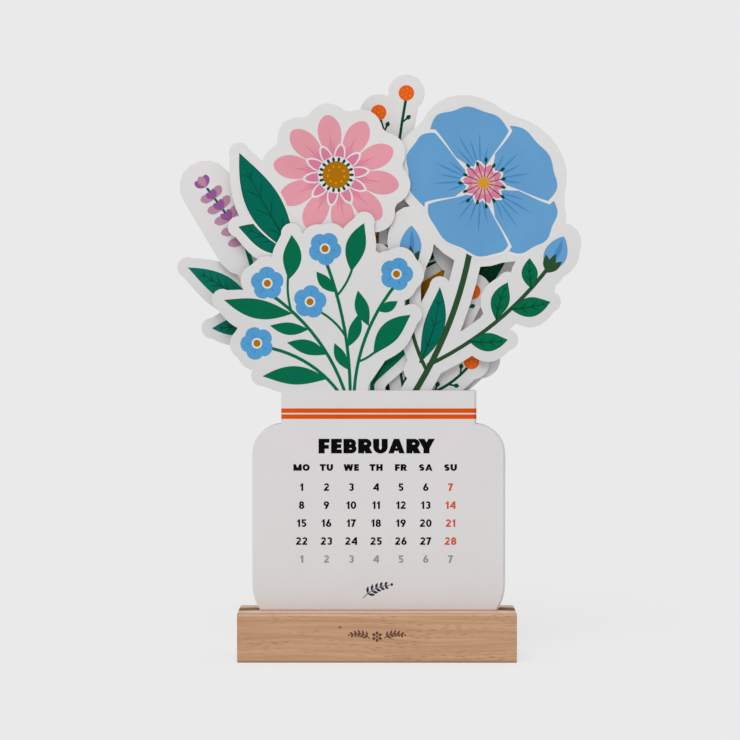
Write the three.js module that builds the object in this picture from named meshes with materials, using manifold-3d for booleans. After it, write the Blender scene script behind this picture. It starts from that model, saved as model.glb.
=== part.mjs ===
// A desk calendar: a grooved beech block that holds twelve die-cut month cards.
// Each card is a jar with the month's dates, and flowers that stand out of the jar's neck, so the
// stack of cards makes one bouquet. The card of the month in use stands in front.
// Millimetres, +Z up, the printed side towards -Y. The origin is the middle of the block's underside.
import * as THREE from "three";
import { mergeVertices } from "three/addons/utils/BufferGeometryUtils.js";
import Module from "manifold-3d";

const wasm = await Module();
wasm.setup();

// The card stock and how the cards stand in the groove
const cardThickness = 0.5;
const cardGap = 0.12;
const footClearance = 0.3;
const wallClearance = 0.35;
const frontLean = 0.4;
const leanStep = 0.2;

// The jar that is the lower half of every card
const jarWidth = 109.1;
const jarBodyHeight = 91;
const jarShoulderRadius = 13;
const jarFootRadius = 21.5;
const neckWidth = 83.9;
const neckHeight = 14.4;

// The flowers above the neck: their drawing's unit is a millimetre
const drawingUnit = 1;
const borderWidth = 4.6;
const bouquetShift = -0.45;
const stemWidth = 2.4;
const rootDepth = 4;
const scallopDepth = 0.12;
const scallopPoints = 9;

// The wooden block
const blockOverhang = 5.65;
const blockFloor = 11.04;
const frontWall = 11.5;
const backWall = 10;
const grooveDepth = 10.26;
const topRounding = 1.3;
const mouthRounding = 0.5;
const underRounding = 0.7;

// Sizes that follow from the ones above
const months = [
  "february", "march", "april", "may", "june", "july",
  "august", "september", "october", "november", "december", "january",
];
const cardPitch = cardThickness + cardGap;
const leanOf = (place) => THREE.MathUtils.degToRad(frontLean + leanStep * place);
const stackDepth = cardPitch * months.length - cardGap;
const leanRoom = grooveDepth * Math.tan(leanOf(months.length - 1));
const grooveWidth = stackDepth + leanRoom + 2 * wallClearance;
const blockWidth = jarWidth + 2 * blockOverhang;
const blockDepth = frontWall + grooveWidth + backWall;
const blockHeight = blockFloor + grooveDepth;
const grooveFront = frontWall - blockDepth / 2;
const neckTop = jarBodyHeight + neckHeight;
const endRounding = 0.9 * mouthRounding;

const point = (x, y) => new THREE.Vector2(x, y);

// A place in the bouquet, from the middle of the neck's top edge, in units of the drawing.
const at = (x, y) => point(x, y).multiplyScalar(drawingUnit);

// Points of a round corner about a centre, from one angle to another, in degrees.
function arc(centre, radius, startAngle, endAngle, steps) {
  return Array.from({ length: steps + 1 }, (_, i) => {
    const angle = THREE.MathUtils.degToRad(startAngle + ((endAngle - startAngle) * i) / steps);
    return point(centre.x + radius * Math.cos(angle), centre.y + radius * Math.sin(angle));
  });
}

// A strip that follows a line from root to tip, bowed sideways by units of the drawing, as wide on
// each side as halfWidth(t) says in millimetres, with the bare border all round and round ends.
function strip(root, tip, bow, halfWidth, steps) {
  const along = tip.clone().sub(root);
  const side = point(-along.y, along.x).normalize();
  const sag = bow * drawingUnit;
  const right = [];
  const left = [];
  for (let i = 0; i <= steps; i++) {
    const t = i / steps;
    const middle = root.clone().addScaledVector(along, t).addScaledVector(side, 4 * sag * t * (1 - t));
    const heading = along.clone().addScaledVector(side, 4 * sag * (1 - 2 * t)).normalize();
    const reach = point(-heading.y, heading.x).multiplyScalar(halfWidth(t) + borderWidth);
    right.push(middle.clone().sub(reach));
    left.unshift(middle.clone().add(reach));
  }
  return [...right, ...roundEnd(right.at(-1), left[0]), ...left, ...roundEnd(left.at(-1), right[0])];
}

// The points of a half circle that joins two points, bulging to the right of the way between them.
function roundEnd(start, end) {
  const centre = start.clone().add(end).multiplyScalar(0.5);
  const radius = start.distanceTo(centre);
  const angle = THREE.MathUtils.radToDeg(Math.atan2(start.y - centre.y, start.x - centre.x));
  return arc(centre, radius, angle, angle + 180, 8).slice(1, -1);
}

const half = (width) => (width / 2) * drawingUnit;
const stem = (root, tip, bow = 0) => strip(root, tip, bow, () => stemWidth / 2, 8);
const leaf = (root, tip, width, bow = 0) =>
  strip(root, tip, bow, (t) => half(width) * Math.sin(Math.PI * t), 10);
const bell = (root, tip, width) =>
  strip(root, tip, 0, (t) => half(width) * Math.sin(Math.PI * (0.15 + 0.55 * t)), 5);
const spike = (root, tip, width) => strip(root, tip, 0, (t) => half(width) * (1 - 0.3 * t), 3);
const ball = (centre, radius) =>
  arc(centre, radius * drawingUnit + borderWidth, 0, 360, 24).slice(1);
const web = (...corners) => corners;

// A flower head cut as one oval disc with a shallow scallop for each petal. Turn is the slope of the
// oval's long axis in degrees, and the first petal lies along that axis.
function bloom(centre, halfLength, halfWidth, petals, turn) {
  const count = petals * scallopPoints;
  return Array.from({ length: count }, (_, i) => {
    const angle = (2 * Math.PI * i) / count;
    const reach = 1 - scallopDepth * (1 - Math.abs(Math.cos((petals * angle) / 2)));
    const along = (halfLength * drawingUnit + borderWidth) * reach * Math.cos(angle);
    const across = (halfWidth * drawingUnit + borderWidth) * reach * Math.sin(angle);
    return point(along, across).rotateAround(point(0, 0), THREE.MathUtils.degToRad(turn)).add(centre);
  });
}

// What stands in each month's jar. Places are measured from the middle of the neck's top edge.
const bouquet = {
  // Small blue blossoms on branching stems, with leaves at the outer tips
  february: [
    bloom(at(-47.5, 46.5), 7.2, 7.2, 5, 20),
    bloom(at(-22.5, 61.5), 7.2, 7.2, 5, 60),
    bloom(at(8.5, 50.5), 7.4, 7.4, 5, 0),
    bloom(at(-52, 20.5), 7.2, 7.2, 5, 40),
    bloom(at(-28, 35), 7.2, 7.2, 5, 10),
    web(
      at(-14, -rootDepth), at(-8, -rootDepth), at(3, 12), at(12, 30), at(12, 48), at(6, 56),
      at(-8, 66), at(-22, 67), at(-38, 58), at(-50, 52), at(-55, 40), at(-57, 28), at(-55, 16), at(-40, 6),
    ),
    leaf(at(-45, 32), at(-67, 39.5), 8, 1),
    leaf(at(-38.5, 48), at(-37, 68), 8, -1),
    leaf(at(-11, 51), at(-5.5, 73), 8.5, 1),
    leaf(at(-15.5, 4.5), at(-50, 6.5), 9, -1),
    leaf(at(-2.5, 14), at(15, 33), 9, 1.5),
    stem(at(-10, -rootDepth), at(9, 32), 5),
  ],
  // A large pink gerbera with two leaves to its left
  march: [
    bloom(at(-18.5, 93.5), 28, 26.5, 10, -10),
    leaf(at(-35.5, 58.5), at(-60.5, 103), 15, 1.5),
    leaf(at(-36, 58), at(-61, 71), 11, -1.5),
    web(
      at(-11, 62), at(-12.5, 38), at(-36, 53), at(-52, 70), at(-57, 92), at(-40, 100), at(-20, 75),
    ),
    stem(at(-10, -rootDepth), at(-15, 76), -3),
    stem(at(-9.6, 33), at(-36, 58), -3),
  ],
  // A large blue flax flower, a closed bud and a branch that ends in a second bud
  april: [
    bloom(at(46, 90), 37.5, 30.5, 5, -42),
    stem(at(14, -rootDepth), at(41, 66), -4),
    bell(at(14, 54), at(14.5, 71), 11),
    stem(at(21.4, 8.4), at(14, 56), 4),
    leaf(at(18.2, 12), at(27, 45), 9, -2),
    stem(at(17, 9), at(76, 55), -5),
    bell(at(74, 52), at(79.5, 64), 11),
    leaf(at(51.5, 30.5), at(56.5, 47), 8, 0.8),
    leaf(at(67, 44), at(66, 57.5), 7, 0.5),
    leaf(at(39.5, 21.5), at(56.5, 22), 8, -0.8),
    leaf(at(57.5, 35.5), at(75, 38.5), 8.5, -0.8),
    web(
      at(22, 7), at(40, 17), at(55, 24), at(66, 35), at(77, 43), at(78, 53),
      at(68, 56), at(58, 46), at(50, 36), at(36, 24), at(24, 16),
    ),
  ],
  // A mustard marigold
  may: [
    bloom(at(-4, 46), 15, 14, 10, 0),
    stem(at(-2, -rootDepth), at(-4, 44)),
    leaf(at(0, 4), at(24, 34), 11, 3),
    leaf(at(-4, 4), at(-30, 34), 11, -3),
  ],
  // A spike of lavender that leans to the left
  june: [
    stem(at(-14, -rootDepth), at(-64, 78), 8),
    spike(at(-57, 64), at(-75, 88.5), 20),
    leaf(at(-24, 10), at(-24, 62), 12, 3),
  ],
  // Orange globe flowers on thin stems
  july: [
    ball(at(12.6, 129.5), 3.4),
    ball(at(0.5, 121), 3.4),
    ball(at(41.5, 43), 3.4),
    ball(at(41, 12.5), 3.4),
    stem(at(12, -rootDepth), at(12.6, 128), 6),
    stem(at(9, 92), at(0.5, 120.5)),
    stem(at(14, 6), at(41.5, 43), -3),
    stem(at(14, -rootDepth), at(41, 12), -3),
    web(at(10, 0), at(18, 0), at(14, 126), at(2, 120), at(2, 60)),
  ],
  // Long teal leaves on one branch
  august: [
    leaf(at(-52, 33), at(-82.5, 53.5), 10, -1.5),
    leaf(at(-50, 31), at(-72, 27), 8, 1),
    leaf(at(-26, 38), at(-44, 84), 13, 2),
    leaf(at(-23.4, 22), at(8, 60), 13, -2),
    stem(at(-16, -rootDepth), at(-26, 38), 1.5),
    stem(at(-20, 7.6), at(-54, 34), -2),
    leaf(at(-18, 2), at(-38, 8.5), 6.5, -0.8),
  ],
  // A coral tulip with a small bud
  september: [
    bell(at(36, 62), at(50, 102), 34),
    stem(at(14, -rootDepth), at(38, 66), -3),
    leaf(at(12, 4), at(6, 60), 13, 4),
    ball(at(45, 13.5), 3.8),
    stem(at(16, -rootDepth), at(45, 13), -3),
  ],
  // Broad leaves in autumn colours
  october: [
    leaf(at(-14, 2), at(-37, 7), 8, -1),
    leaf(at(-16, 14), at(-38, 66), 18, 3),
    leaf(at(-10.4, 20), at(-2, 92), 20),
    leaf(at(-8, 14), at(34, 56), 18, -3),
    stem(at(-14, -rootDepth), at(-10.4, 21)),
    stem(at(-13, 5), at(-16.3, 15.2)),
  ],
  // A dark green fern
  november: [
    leaf(at(5, 6), at(20, 98), 24, -3),
    leaf(at(2, 6), at(-24, 66), 20, 3),
    stem(at(4, -rootDepth), at(5, 20)),
  ],
  // Red berries over dark leaves
  december: [
    ball(at(56, 100), 8),
    ball(at(40, 104), 8),
    ball(at(46, 88), 8),
    stem(at(8, -rootDepth), at(48, 96), -5),
    leaf(at(18.2, 13), at(62, 66), 15, 3),
    leaf(at(9, 14), at(4, 68), 15, -3),
  ],
  // Snowdrops over narrow leaves
  january: [
    bell(at(-33, 100), at(-37, 81), 14),
    bell(at(-14, 106), at(-13, 86), 16),
    stem(at(-14, -rootDepth), at(-33, 100), 5),
    stem(at(-8, -rootDepth), at(-14, 106), -3),
    leaf(at(-16, 2), at(-42, 62), 12, 4),
    leaf(at(-6, 2), at(24, 68), 13, -3),
  ],
};

// How far a card stands to one side of the middle, as a stack that is set down by hand does.
const sideSlip = {
  february: 0.4, march: 1.25, april: 0.75, may: 0.45, june: 1.05, july: 0.65,
  august: 0.4, september: 0.85, october: 1.15, november: 0.55, december: 0.4, january: 0.75,
};

// The jar in outline, from the middle of its foot.
function jarOutline() {
  const half = jarWidth / 2;
  const lowX = half - jarFootRadius;
  const shoulderX = half - jarShoulderRadius;
  const shoulderY = jarBodyHeight - jarShoulderRadius;
  const neckAngle = THREE.MathUtils.radToDeg(Math.acos((neckWidth / 2 - shoulderX) / jarShoulderRadius));
  const rightSide = [
    ...arc(point(lowX, jarFootRadius), jarFootRadius, -90, 0, 9),
    ...arc(point(shoulderX, shoulderY), jarShoulderRadius, 0, neckAngle, 7),
    point(neckWidth / 2, neckTop),
  ];
  const leftSide = rightSide.map((p) => point(-p.x, p.y)).reverse();
  return [...rightSide, ...leftSide];
}

// A flat solid of card stock in the plane of X and Z, its printed face on Y = 0.
function cutFromCard(outline) {
  const geometry = new THREE.ExtrudeGeometry(new THREE.Shape(outline), {
    depth: cardThickness,
    bevelEnabled: false,
  });
  const upright = new THREE.Matrix4().makeBasis(
    new THREE.Vector3(1, 0, 0),
    new THREE.Vector3(0, 0, 1),
    new THREE.Vector3(0, -1, 0),
  );
  return geometry.applyMatrix4(upright).translate(0, cardThickness, 0);
}

function toSolid(geometry) {
  geometry.deleteAttribute("normal");
  geometry.deleteAttribute("uv");
  const merged = mergeVertices(geometry);
  return new wasm.Manifold(
    new wasm.Mesh({
      numProp: 3,
      vertProperties: merged.attributes.position.array,
      triVerts: new Uint32Array(merged.index.array),
    }),
  );
}

function toGeometry(solid) {
  const mesh = solid.getMesh();
  const geometry = new THREE.BufferGeometry();
  geometry.setAttribute("position", new THREE.BufferAttribute(new Float32Array(mesh.vertProperties), 3));
  geometry.setIndex(new THREE.BufferAttribute(new Uint32Array(mesh.triVerts), 1));
  return geometry;
}

// One month's card: the jar and all that is cut out above its neck, as one piece of board.
function monthCard(month, place) {
  const aboveNeck = (p) => point(p.x + bouquetShift, p.y + neckTop);
  const board = bouquet[month]
    .map((outline) => toSolid(cutFromCard(outline.map(aboveNeck))))
    .reduce((joined, piece) => joined.add(piece), toSolid(cutFromCard(jarOutline())));
  const paper = new THREE.MeshStandardMaterial({ color: 0xf2f1ee, roughness: 0.75, metalness: 0 });
  const card = new THREE.Mesh(toGeometry(board), paper);
  card.name = `card_${month}`;
  card.position.set(
    sideSlip[month],
    grooveFront + wallClearance + cardPitch * place,
    blockFloor + footClearance,
  );
  card.rotation.x = -leanOf(place);
  return card;
}

// The block's end view: a square with rounded edges and a groove that opens upwards.
function blockProfile() {
  const back = blockDepth / 2;
  const grooveBack = grooveFront + grooveWidth;
  return [
    ...arc(point(back - underRounding, underRounding), underRounding, -90, 0, 3),
    ...arc(point(back - topRounding, blockHeight - topRounding), topRounding, 0, 90, 4),
    ...arc(point(grooveBack + mouthRounding, blockHeight - mouthRounding), mouthRounding, 90, 180, 2),
    point(grooveBack, blockFloor),
    point(grooveFront, blockFloor),
    ...arc(point(grooveFront - mouthRounding, blockHeight - mouthRounding), mouthRounding, 0, 90, 2),
    ...arc(point(topRounding - back, blockHeight - topRounding), topRounding, 90, 180, 4),
    ...arc(point(underRounding - back, underRounding), underRounding, 180, 270, 3),
  ];
}

function woodenBlock() {
  const geometry = new THREE.ExtrudeGeometry(new THREE.Shape(blockProfile()), {
    depth: blockWidth - 2 * endRounding,
    bevelThickness: endRounding,
    bevelSize: endRounding,
    bevelOffset: -endRounding,
    bevelSegments: 2,
  });
  const lengthways = new THREE.Matrix4().makeBasis(
    new THREE.Vector3(0, 1, 0),
    new THREE.Vector3(0, 0, 1),
    new THREE.Vector3(1, 0, 0),
  );
  geometry.applyMatrix4(lengthways).translate(endRounding - blockWidth / 2, 0, 0);
  const beech = new THREE.MeshStandardMaterial({ color: 0xc69a73, roughness: 0.6, metalness: 0 });
  const block = new THREE.Mesh(geometry, beech);
  block.name = "base_block";
  return block;
}

const calendar = new THREE.Group();
calendar.add(woodenBlock());
months.forEach((month, place) => calendar.add(monthCard(month, place)));

export default calendar;
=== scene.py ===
"""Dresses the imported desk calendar: twelve printed month cards, a beech block and a plain studio.

Drawings are laid out in millimetres on a flat sheet, X to the right and Y up, and are then set on
the card or the block that carries them. Everything else is in metres, in the CAD frame.
"""

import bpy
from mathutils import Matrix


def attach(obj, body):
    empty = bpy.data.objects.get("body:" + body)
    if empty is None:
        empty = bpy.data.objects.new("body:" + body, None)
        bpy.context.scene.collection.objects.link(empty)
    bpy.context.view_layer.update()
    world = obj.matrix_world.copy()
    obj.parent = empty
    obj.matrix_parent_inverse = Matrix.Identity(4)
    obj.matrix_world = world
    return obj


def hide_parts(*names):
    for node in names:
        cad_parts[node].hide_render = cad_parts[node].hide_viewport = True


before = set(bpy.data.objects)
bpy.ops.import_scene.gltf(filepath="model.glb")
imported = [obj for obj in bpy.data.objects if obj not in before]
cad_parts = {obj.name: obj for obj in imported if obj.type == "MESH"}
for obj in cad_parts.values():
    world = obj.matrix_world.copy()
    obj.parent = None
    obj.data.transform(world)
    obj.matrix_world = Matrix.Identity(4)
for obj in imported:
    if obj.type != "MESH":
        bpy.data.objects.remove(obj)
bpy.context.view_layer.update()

import calendar
import logging
import math
from abc import ABC, abstractmethod
from collections.abc import Callable, Iterable
from dataclasses import dataclass, field
from enum import Enum

import bpy
from mathutils import Matrix, Vector

log = logging.getLogger("desk_calendar")

Point = tuple[float, float]
Outline = list[Point]
Colour = tuple[int, int, int]
Piece = bpy.types.Object
Node = bpy.types.Node
Socket = bpy.types.NodeSocket
Tree = bpy.types.NodeTree

MILLIMETRE = 0.001
FULL_TURN = 360.0
SUNDAY = 6  # the weekday's number, counted from Monday as 0
CLOSE = 0.01  # how far apart two places may be and still count as one, in millimetres
FACE_ON = 0.7  # how far the normal of a card's flat face points along Y at least
BOARD_FIBRE = 1500.0  # how many fibres of the board there are to a metre
BOARD_RELIEF = 0.00005  # how deep the board's felt is, in metres
WOOD_RELIEF = 0.00012  # how deep the wood's open grain is, in metres
BLADE_STEPS = 18  # how many stretches each side of a leaf or a petal has
VEIN_SLOPE = 34.0  # how far a side vein leans from the midrib, in degrees
VEIN_WIDTH = 0.42  # how wide a side vein is


# ---------- Small tools ----------


def linear(colour: Colour) -> tuple[float, float, float, float]:
    """Convert a colour from sRGB to the linear values that a shader takes.

    Args:
        colour: Red, green and blue from 0 to 255.

    Returns:
        Linear red, green, blue and an alpha of 1.
    """
    parts = [part / 255 for part in colour]
    red, green, blue = (p / 12.92 if p <= 0.04045 else ((p + 0.055) / 1.055) ** 2.4 for p in parts)
    return red, green, blue, 1.0


def deselect() -> None:
    """Leave nothing selected, because operators act on all that is."""
    bpy.ops.object.select_all(action="DESELECT")


def take(piece: Piece) -> None:
    """Make one object the only selected and active one.

    Args:
        piece: The object to select.
    """
    deselect()
    piece.select_set(True)
    bpy.context.view_layer.objects.active = piece


def edit(piece: Piece, *steps: Callable[[], object]) -> None:
    """Run operators in edit mode on the whole of a piece.

    Args:
        piece: The object to edit.
        steps: Calls that run in turn, each with everything selected first.
    """
    take(piece)
    bpy.ops.object.mode_set(mode="EDIT")
    for step in steps:
        bpy.ops.mesh.select_all(action="SELECT")
        step()
    bpy.ops.object.mode_set(mode="OBJECT")


def face_outwards() -> None:
    """Turn the selected faces of the piece that is in edit mode outwards."""
    bpy.ops.mesh.normals_make_consistent(inside=False)


def arc(centre: Point, radii: Point, start: float, end: float, steps: int) -> Outline:
    """Points on part of an ellipse.

    Args:
        centre: The middle of the ellipse.
        radii: Its half width and half height.
        start: The first angle, in degrees.
        end: The last angle, in degrees.
        steps: How many chords the arc has.

    Returns:
        One point more than there are chords.
    """
    angles = [math.radians(start + (end - start) * i / steps) for i in range(steps + 1)]
    return [
        (centre[0] + radii[0] * math.cos(a), centre[1] + radii[1] * math.sin(a)) for a in angles
    ]


def polar(centre: Point, angle: float, distance: float) -> Point:
    """The point at a distance from a centre, at an angle in degrees."""
    a = math.radians(angle)
    return centre[0] + distance * math.cos(a), centre[1] + distance * math.sin(a)


def between(start: Point, end: Point, part: float) -> Point:
    """The point that lies a part of the way from one point to another."""
    return start[0] + (end[0] - start[0]) * part, start[1] + (end[1] - start[1]) * part


def on_bow(root: Point, tip: Point, bow: float, part: float) -> Point:
    """A point on a bowed line.

    Args:
        root: Where the line starts.
        tip: Where it ends.
        bow: How far its middle stands to the left of the straight line.
        part: How far along the line the point is, from 0 to 1.

    Returns:
        The point.
    """
    x, y = between(root, tip, part)
    length = math.dist(root, tip)
    out = 4 * bow * part * (1 - part) / length
    return x - (tip[1] - root[1]) * out, y + (tip[0] - root[0]) * out


def bow_slope(root: Point, tip: Point, bow: float, part: float) -> float:
    """The heading of a bowed line.

    Args:
        root: Where the line starts.
        tip: Where it ends.
        bow: How far its middle stands to the left of the straight line.
        part: Where along the line it is wanted, from 0 to 1.

    Returns:
        The heading in degrees, anticlockwise from the right.
    """
    before = on_bow(root, tip, bow, part - 0.01)
    after = on_bow(root, tip, bow, part + 0.01)
    return math.degrees(math.atan2(after[1] - before[1], after[0] - before[0]))


def strip(
    root: Point, tip: Point, bow: float, half_width: Callable[[float], float], steps: int
) -> Outline:
    """The outline of a strip along a bowed line.

    Args:
        root: Where the strip starts.
        tip: Where it ends.
        bow: How far its middle stands to the left of the straight line.
        half_width: The strip's half width at a part of its length from 0 to 1.
        steps: How many stretches the strip has.

    Returns:
        The outline, anticlockwise.
    """
    right: Outline = []
    left: Outline = []
    for i in range(steps + 1):
        part = i / steps
        middle = on_bow(root, tip, bow, part)
        heading = bow_slope(root, tip, bow, part)
        width = half_width(part)
        right.append(polar(middle, heading - 90, width))
        if width > 1e-6:
            left.append(polar(middle, heading + 90, width))
    return right + left[::-1]


# ---------- Shader wiring and the node groups that the finishes share ----------


@dataclass
class Wiring:
    """Places nodes in one tree and joins them.

    Attributes:
        tree: The node tree of a material or of a node group.
    """

    tree: Tree

    def node(self, kind: str, **settings: object) -> Node:
        """Add a node.

        Args:
            kind: The node's type name.
            settings: Its properties by name.

        Returns:
            The new node.
        """
        made = self.tree.nodes.new(kind)
        for name, value in settings.items():
            setattr(made, name, value)
        return made

    def feed(self, node: Node, **inputs: object) -> Node:
        """Give a node its inputs.

        Args:
            node: The node to feed.
            inputs: A socket to link or a plain value for each input, with _ for a space.

        Returns:
            The same node.
        """
        for name, value in inputs.items():
            socket = node.inputs[name.replace("_", " ")]
            if isinstance(value, Socket):
                self.tree.links.new(value, socket)
            else:
                socket.default_value = value
        return node

    def group(self, group: Tree, **inputs: object) -> Node:
        """Place a node group and give it its inputs."""
        return self.feed(self.node("ShaderNodeGroup", node_tree=group), **inputs)

    def noise(self, vector: Socket, scale: float, **inputs: object) -> object:
        """Add a noise texture and return its value."""
        made = self.feed(self.node("ShaderNodeTexNoise"), Vector=vector, Scale=scale, **inputs)
        return made.outputs["Fac"]

    def stretch(self, vector: Socket, scale: tuple[float, float, float]) -> object:
        """Scale the coordinates of a pattern.

        Args:
            vector: The coordinates.
            scale: How much denser the pattern gets along each axis.

        Returns:
            The scaled coordinates.
        """
        made = self.node("ShaderNodeVectorMath", operation="MULTIPLY")
        self.tree.links.new(vector, made.inputs[0])
        made.inputs[1].default_value = scale
        return made.outputs["Vector"]

    def split(self, vector: Socket) -> bpy.types.bpy_prop_collection:
        """Split a vector.

        Args:
            vector: The vector.

        Returns:
            The sockets X, Y and Z.
        """
        made = self.node("ShaderNodeSeparateXYZ")
        self.tree.links.new(vector, made.inputs[0])
        return made.outputs

    def maths(self, operation: str, first: object, second: object = 0.0) -> object:
        """Add a maths node.

        Args:
            operation: What it does.
            first: A socket or a number.
            second: Another, where the operation takes two.

        Returns:
            The result's socket.
        """
        made = self.node("ShaderNodeMath", operation=operation)
        for socket, value in zip(made.inputs, (first, second), strict=False):
            if isinstance(value, Socket):
                self.tree.links.new(value, socket)
            else:
                socket.default_value = value
        return made.outputs["Value"]

    def span(self, value: object, low: float, high: float, start: float, end: float) -> object:
        """Map a value from one range to another, without going past the second.

        Args:
            value: The value.
            low: Where the first range starts.
            high: Where it ends.
            start: Where the second range starts.
            end: Where it ends.

        Returns:
            The result's socket.
        """
        made = self.feed(self.node("ShaderNodeMapRange"), Value=value)
        limits = {"From Min": low, "From Max": high, "To Min": start, "To Max": end}
        for name, number in limits.items():
            made.inputs[name].default_value = number
        return made.outputs["Result"]

    def mix(self, factor: object, first: object, second: object, kind: str = "MIX") -> object:
        """Mix two colours.

        Args:
            factor: How much of the second colour shows, from 0 to 1.
            first: The first colour.
            second: The second colour.
            kind: The way of mixing.

        Returns:
            The result's socket.
        """
        made = self.node("ShaderNodeMix", data_type="RGBA", blend_type=kind)
        for index, value in ((0, factor), (6, first), (7, second)):
            if isinstance(value, Socket):
                self.tree.links.new(value, made.inputs[index])
            else:
                made.inputs[index].default_value = value
        return made.outputs[2]


def node_group(
    name: str, inputs: dict[str, object], outputs: dict[str, str]
) -> tuple[Wiring, dict]:
    """Start a shader node group.

    Args:
        name: The group's name.
        inputs: The start value of each input. A tuple makes a vector socket.
        outputs: The socket type of each output.

    Returns:
        The wiring of the group, and its inputs and outputs by name.
    """
    tree = bpy.data.node_groups.new(name, "ShaderNodeTree")
    for title, value in inputs.items():
        kind = "NodeSocketVector" if isinstance(value, tuple) else "NodeSocketFloat"
        socket = tree.interface.new_socket(title, in_out="INPUT", socket_type=kind)
        socket.default_value = value
    for title, kind in outputs.items():
        tree.interface.new_socket(title, in_out="OUTPUT", socket_type=kind)
    wiring = Wiring(tree)
    enter, leave = wiring.node("NodeGroupInput"), wiring.node("NodeGroupOutput")
    return wiring, {"in": enter.outputs, "out": leave.inputs}


def paper_tooth() -> Tree:
    """Build the fine felt of card stock: a slow cloudiness and the height of its fibres.

    Returns:
        A group with the outputs Cloud, from 0 to 1, and Height.
    """
    wiring, ends = node_group(
        "paper_tooth",
        {"Vector": (0.0, 0.0, 0.0), "Fibre": 1400.0},
        {"Cloud": "NodeSocketFloat", "Height": "NodeSocketFloat"},
    )
    place, fibre = ends["in"]["Vector"], ends["in"]["Fibre"]
    cloud = wiring.noise(place, 38.0, Detail=3.0, Roughness=0.6)
    felt = wiring.noise(place, 1.0, Detail=2.0, Roughness=0.55)
    wiring.tree.links.new(fibre, felt.node.inputs["Scale"])
    wiring.tree.links.new(cloud, ends["out"]["Cloud"])
    wiring.tree.links.new(felt, ends["out"]["Height"])
    return wiring.tree


def beech_grain() -> Tree:
    """Build the figure of steamed beech, with its grain along X.

    Returns:
        A group with the outputs Streak, Fleck and Ring, from 0 to 1, and Height.
    """
    wiring, ends = node_group(
        "beech_grain",
        {"Vector": (0.0, 0.0, 0.0)},
        {name: "NodeSocketFloat" for name in ("Streak", "Fleck", "Ring", "Height")},
    )
    place = ends["in"]["Vector"]
    wander = wiring.feed(
        wiring.node("ShaderNodeTexNoise"),
        Vector=wiring.stretch(place, (9.0, 30.0, 30.0)), Scale=1.0, Detail=2.0,
    )
    drift = wiring.node("ShaderNodeVectorMath", operation="MULTIPLY_ADD")
    wiring.tree.links.new(wander.outputs["Color"], drift.inputs[0])
    drift.inputs[1].default_value = (0.0, 0.0016, 0.009)
    wiring.tree.links.new(place, drift.inputs[2])
    bent = drift.outputs["Vector"]
    streak = wiring.noise(
        wiring.stretch(bent, (11.0, 620.0, 620.0)), 1.0, Detail=4.0, Roughness=0.6
    )
    growth = wiring.noise(wiring.stretch(bent, (4.0, 46.0, 92.0)), 1.0, Detail=2.0, Roughness=0.5)
    rings = wiring.maths("PINGPONG", wiring.maths("MULTIPLY", growth, 11.0), 0.5)
    patches = wiring.noise(wiring.stretch(place, (22.0, 90.0, 90.0)), 1.0, Detail=1.0)
    patchy = wiring.span(patches, 0.42, 0.6, 0.2, 1.0)
    ring = wiring.maths("MULTIPLY", wiring.span(rings, 0.24, 0.5, 0.0, 1.0), patchy)
    cells = wiring.feed(
        wiring.node("ShaderNodeTexVoronoi", feature="F1"),
        Vector=wiring.stretch(bent, (190.0, 1500.0, 1500.0)), Scale=1.0, Randomness=1.0,
    )
    fleck = wiring.span(cells.outputs["Distance"], 0.16, 0.36, 1.0, 0.0)
    thin = wiring.noise(wiring.stretch(place, (40.0, 160.0, 160.0)), 1.0, Detail=1.0)
    fleck = wiring.maths("MULTIPLY", fleck, wiring.span(thin, 0.38, 0.6, 0.1, 1.0))
    height = wiring.maths("SUBTRACT", streak, wiring.maths("MULTIPLY", fleck, 0.5))
    for name, value in (("Streak", streak), ("Fleck", fleck), ("Ring", ring), ("Height", height)):
        wiring.tree.links.new(value, ends["out"][name])
    return wiring.tree


@dataclass(frozen=True)
class Finish(ABC):
    """A material that is made once and then given to each piece that has it.

    Attributes:
        shared: The node groups that the finishes share.
    """

    shared: "SharedEffects"

    @property
    @abstractmethod
    def title(self) -> str:
        """The material's name."""

    @abstractmethod
    def wire(self, wiring: Wiring, shader: Node, place: Socket) -> None:
        """Wire the material.

        Args:
            wiring: The material's node tree.
            shader: Its Principled BSDF.
            place: The Object coordinates.
        """

    def material(self) -> bpy.types.Material:
        """Make the material on the first call.

        Returns:
            The material.
        """
        known = bpy.data.materials.get(self.title)
        if known:
            return known
        made = bpy.data.materials.new(self.title)
        made.use_nodes = True
        wiring = Wiring(made.node_tree)
        place = wiring.node("ShaderNodeTexCoord").outputs["Object"]
        self.wire(wiring, made.node_tree.nodes["Principled BSDF"], place)
        return made

    def dress(self, piece: Piece) -> None:
        """Give the finish to all of a piece."""
        if not piece.data.materials:
            piece.data.materials.append(self.material())
        for slot in piece.material_slots:
            slot.material = self.material()


@dataclass(frozen=True)
class SharedEffects:
    """The node groups that more than one finish uses.

    Attributes:
        tooth: The felt of paper.
        grain: The figure of beech.
    """

    tooth: Tree
    grain: Tree


def bump(wiring: Wiring, height: object, strength: float, depth: float) -> object:
    """Turn a height into a normal.

    Args:
        wiring: The tree to work in.
        height: The height, from 0 to 1.
        strength: How much of it shows.
        depth: The depth of the relief, in metres.

    Returns:
        The normal to give to a shader.
    """
    made = wiring.feed(
        wiring.node("ShaderNodeBump"), Strength=strength, Distance=depth, Height=height
    )
    return made.outputs["Normal"]


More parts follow.
